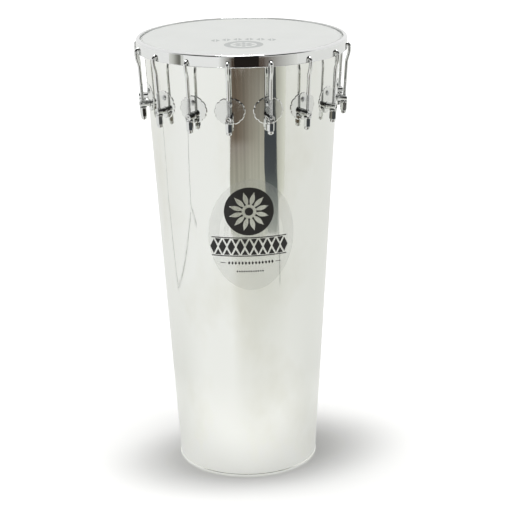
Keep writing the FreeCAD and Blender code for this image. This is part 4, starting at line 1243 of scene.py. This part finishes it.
blocks = [disc_points(FLOWER, HEART, 32)]
blocks += [between_petals(2 * math.pi * number / PETALS) for number in range(PETALS)]
hoops = [(FLOWER, RING_IN, RING_OUT, 96)]
part_wide = (BAND_RIGHT - BAND_LEFT) / PARTS
band_middle = (BAND_LOW + BAND_HIGH) / 2
half, tall = part_wide / 2 - LOZENGE_GAP, (BAND_HIGH - BAND_LOW) / 2 - LOZENGE_MARGIN
for part in range(PARTS):
    x = BAND_LEFT + part_wide * (part + 0.5)
    blocks.append(lozenge(x, band_middle, half, tall))
    if part:
        edge = x - part_wide / 2
        for tip, foot in ((band_middle + TIP_FROM_MIDDLE, BAND_HIGH - FOOT_FROM_EDGE),
                          (band_middle - TIP_FROM_MIDDLE, BAND_LOW + FOOT_FROM_EDGE)):
            corners = [(edge, tip), (edge + half - FOOT_GAP, foot),
                       (edge - half + FOOT_GAP, foot)]
            blocks.append(edge_points(corners if foot < tip else corners[::-1]))
for low, high in ((BAND_HIGH - LINE_THICK, BAND_HIGH), (BAND_LOW, BAND_LOW + LINE_THICK)):
    blocks.append(bar_points(BAND_LEFT + LINE_SHORT, BAND_RIGHT - LINE_SHORT, low, high))
for row_height, middle, half_long, half_tall, count in SMALL_ROWS:
    pitch = 2 * half_long / count
    blocks += [lozenge(middle - half_long + pitch * (number + 0.5), row_height,
                       pitch * SMALL_SHARE, half_tall) for number in range(count)]
blocks += [bar_points(near, far, DASH_LOW, DASH_HIGH) for near, far in DASHES]
shell_print = fit("shell_print", bend_to_front("shell_print", print_mesh(
    "shell_print_flat", blocks, hoops, film_face + INK_LIFT, film_face + INK_LIFT + INK_THICK),
    black_ink), "drum", sharp=40)
print("print faces", len(shell_print.data.polygons))

# %% [markdown]
# ## The head and its print
#
# The film of the head is flat over the rolled edge and bends down into its channel, where
# its rim is held. On it lies a pale print like the one on the shell: a broad ring with a
# small flower, and an arc of split lozenges.

# %% The head
FILM_LOW, FILM_UNDER, FILM_TOP = 800.6, 806.3, 806.7
FILM_RINGS, FLAT_EDGE = (0.0, 60.0, 120.0), 176.6
INTO_CHANNEL = [(177.0, FILM_UNDER), (177.35, 806.12), (182.4, 802.98), (182.7, 802.7),
                (182.7, FILM_LOW + 0.05), (182.75, FILM_LOW), (183.05, FILM_LOW),
                (183.1, FILM_LOW + 0.05), (183.1, 802.85), (182.75, 803.22), (177.6, 806.5),
                (177.2, 806.7), (176.8, FILM_TOP)]
head_points = [(radius, FILM_UNDER) for radius in FILM_RINGS]
head_points += run(head_points[-1], (FLAT_EDGE, FILM_UNDER), 3) + INTO_CHANNEL
head_points += run((FLAT_EDGE, FILM_TOP), (FILM_RINGS[-1], FILM_TOP), 3)
head_points += [(radius, FILM_TOP) for radius in reversed(FILM_RINGS)]
fit("milky_film", turned("milky_film", head_points, 192, milky_film), "hoop", ["drumhead"],
    sharp=40)

HEAD_MARK, MARK_PETALS, MARK_HEART, MARK_RING = (3.5, -85.0), 8, 3.6, (23.5, 34.5)
ARC_MIDDLE, ARC_RADIUS, ARC_SHARES = (3.5, -184.0), 150.0, (-1.0, -0.6, -0.2, 0.2, 0.6, 1.0)
ARC_REACH, SPLIT, SPLIT_WIDE, SPLIT_TALL, HEAD_INK_TOP = 19.5, 1.2, 8.2, 12, 0.05
MARK_NEAR, MARK_FAR, MARK_HALF = 5.0, 20.5, 3.9
blocks = [petal_points(HEAD_MARK, 2 * math.pi * petal / MARK_PETALS, MARK_NEAR, MARK_FAR,
                       MARK_HALF) for petal in range(MARK_PETALS)]
blocks.append(disc_points(HEAD_MARK, MARK_HEART, 20))
hoops = [(HEAD_MARK, *MARK_RING, 72)]
for arc_share in ARC_SHARES:
    spot = at(ARC_MIDDLE, ARC_RADIUS, math.radians(90 + ARC_REACH * arc_share))
    for side in (-1, 1):
        blocks.append(edge_points([(spot[0] + side * SPLIT, spot[1] - SPLIT_TALL * side),
                                   (spot[0] + side * SPLIT_WIDE, spot[1]),
                                   (spot[0] + side * SPLIT, spot[1] + SPLIT_TALL * side)]))
head_print = fit("head_print", print_mesh("head_print", blocks, hoops, FILM_TOP + INK_LIFT,
                                          FILM_TOP + HEAD_INK_TOP), "hoop",
                 sharp=40)
head_print.data.materials.append(grey_ink)

# %% [markdown]
# ## The hoop
#
# The hoop is pressed from steel band: a flange over the channel, a round shoulder, a plain
# face with sixteen round holes for the hooks, and a small bead at the foot. A mirror finish
# needs a finer round than the solid has, so the same outline is turned in small steps, with
# a rounder inner edge on the flange, and then the holes are drilled.

# %% The hoop
HOOP_RADIUS, HOOP_METAL, HOOP_LOW, HOOP_TOP, HOOP_SHOULDER = 190.0, 1.5, 786.0, 808.0, 3.5
FLANGE_WIDE, BEAD, HOOK_HOLE, HOOK_HEIGHT, SOFT, LIP = 7.2, 0.5, 3.725, 794.5, 0.25, 0.9
HOLE_DRILL_HALF = 5.0
shoulder = (HOOP_RADIUS - HOOP_SHOULDER, HOOP_TOP - HOOP_SHOULDER)
flange_in = HOOP_RADIUS - FLANGE_WIDE
hoop_points = [(HOOP_RADIUS - HOOP_METAL + SOFT, HOOP_LOW), (HOOP_RADIUS - SOFT, HOOP_LOW)]
hoop_points += bend((HOOP_RADIUS, HOOP_LOW + BEAD), BEAD, -80, 90, 8)
hoop_points += run((HOOP_RADIUS, HOOP_LOW + 2 * BEAD), (HOOP_RADIUS, shoulder[1]), 12)
hoop_points += bend(shoulder, HOOP_SHOULDER, 0, 90, 14)
hoop_points += run((shoulder[0], HOOP_TOP), (flange_in + LIP, HOOP_TOP))
hoop_points += bend((flange_in + LIP, HOOP_TOP - LIP), LIP, 90, 180, 8)
hoop_points += bend((flange_in + SOFT, HOOP_TOP - HOOP_METAL + SOFT), SOFT, 180, 270, 4)
hoop_points += bend(shoulder, HOOP_SHOULDER - HOOP_METAL, 90, 0, 8)
hoop_points += run((HOOP_RADIUS - HOOP_METAL, shoulder[1]),
                   (HOOP_RADIUS - HOOP_METAL, HOOP_LOW + SOFT), 12)
hoop_band = turned("hoop_band", hoop_points, 384, chrome)
hole_drill = cylinder("hole_drill", HOOK_HOLE, -HOLE_DRILL_HALF, HOLE_DRILL_HALF, 40, chrome)
hole_drill.transform(Matrix.Rotation(math.radians(90), 4, "Y"))
drills = repeated("hole_drills", hole_drill, chrome, 0.0, HOOP_RADIUS, HOOK_HEIGHT)
hoop = fit("pressed_hoop", cut_away("pressed_hoop", hoop_band, [drills]), "hoop",
           ["counter_hoop"], sharp=36)
print("hoop faces", len(hoop.data.polygons))

# %% [markdown]
# ## Solids that keep their shape
#
# The channel and the small hardware inside are right as the solids have them, so they only
# get their finishes.

# %% Finishes for the kept solids
KEPT = {"flesh_hoop": drawn_channel, "post_screws": zinc, "post_washers": zinc,
        "bolt_washers": zinc, "bolt_nuts": zinc}
for node, finish in KEPT.items():
    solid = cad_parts[node]
    if not solid.material_slots:
        solid.data.materials.append(finish)
    for place in solid.material_slots:
        place.material = finish
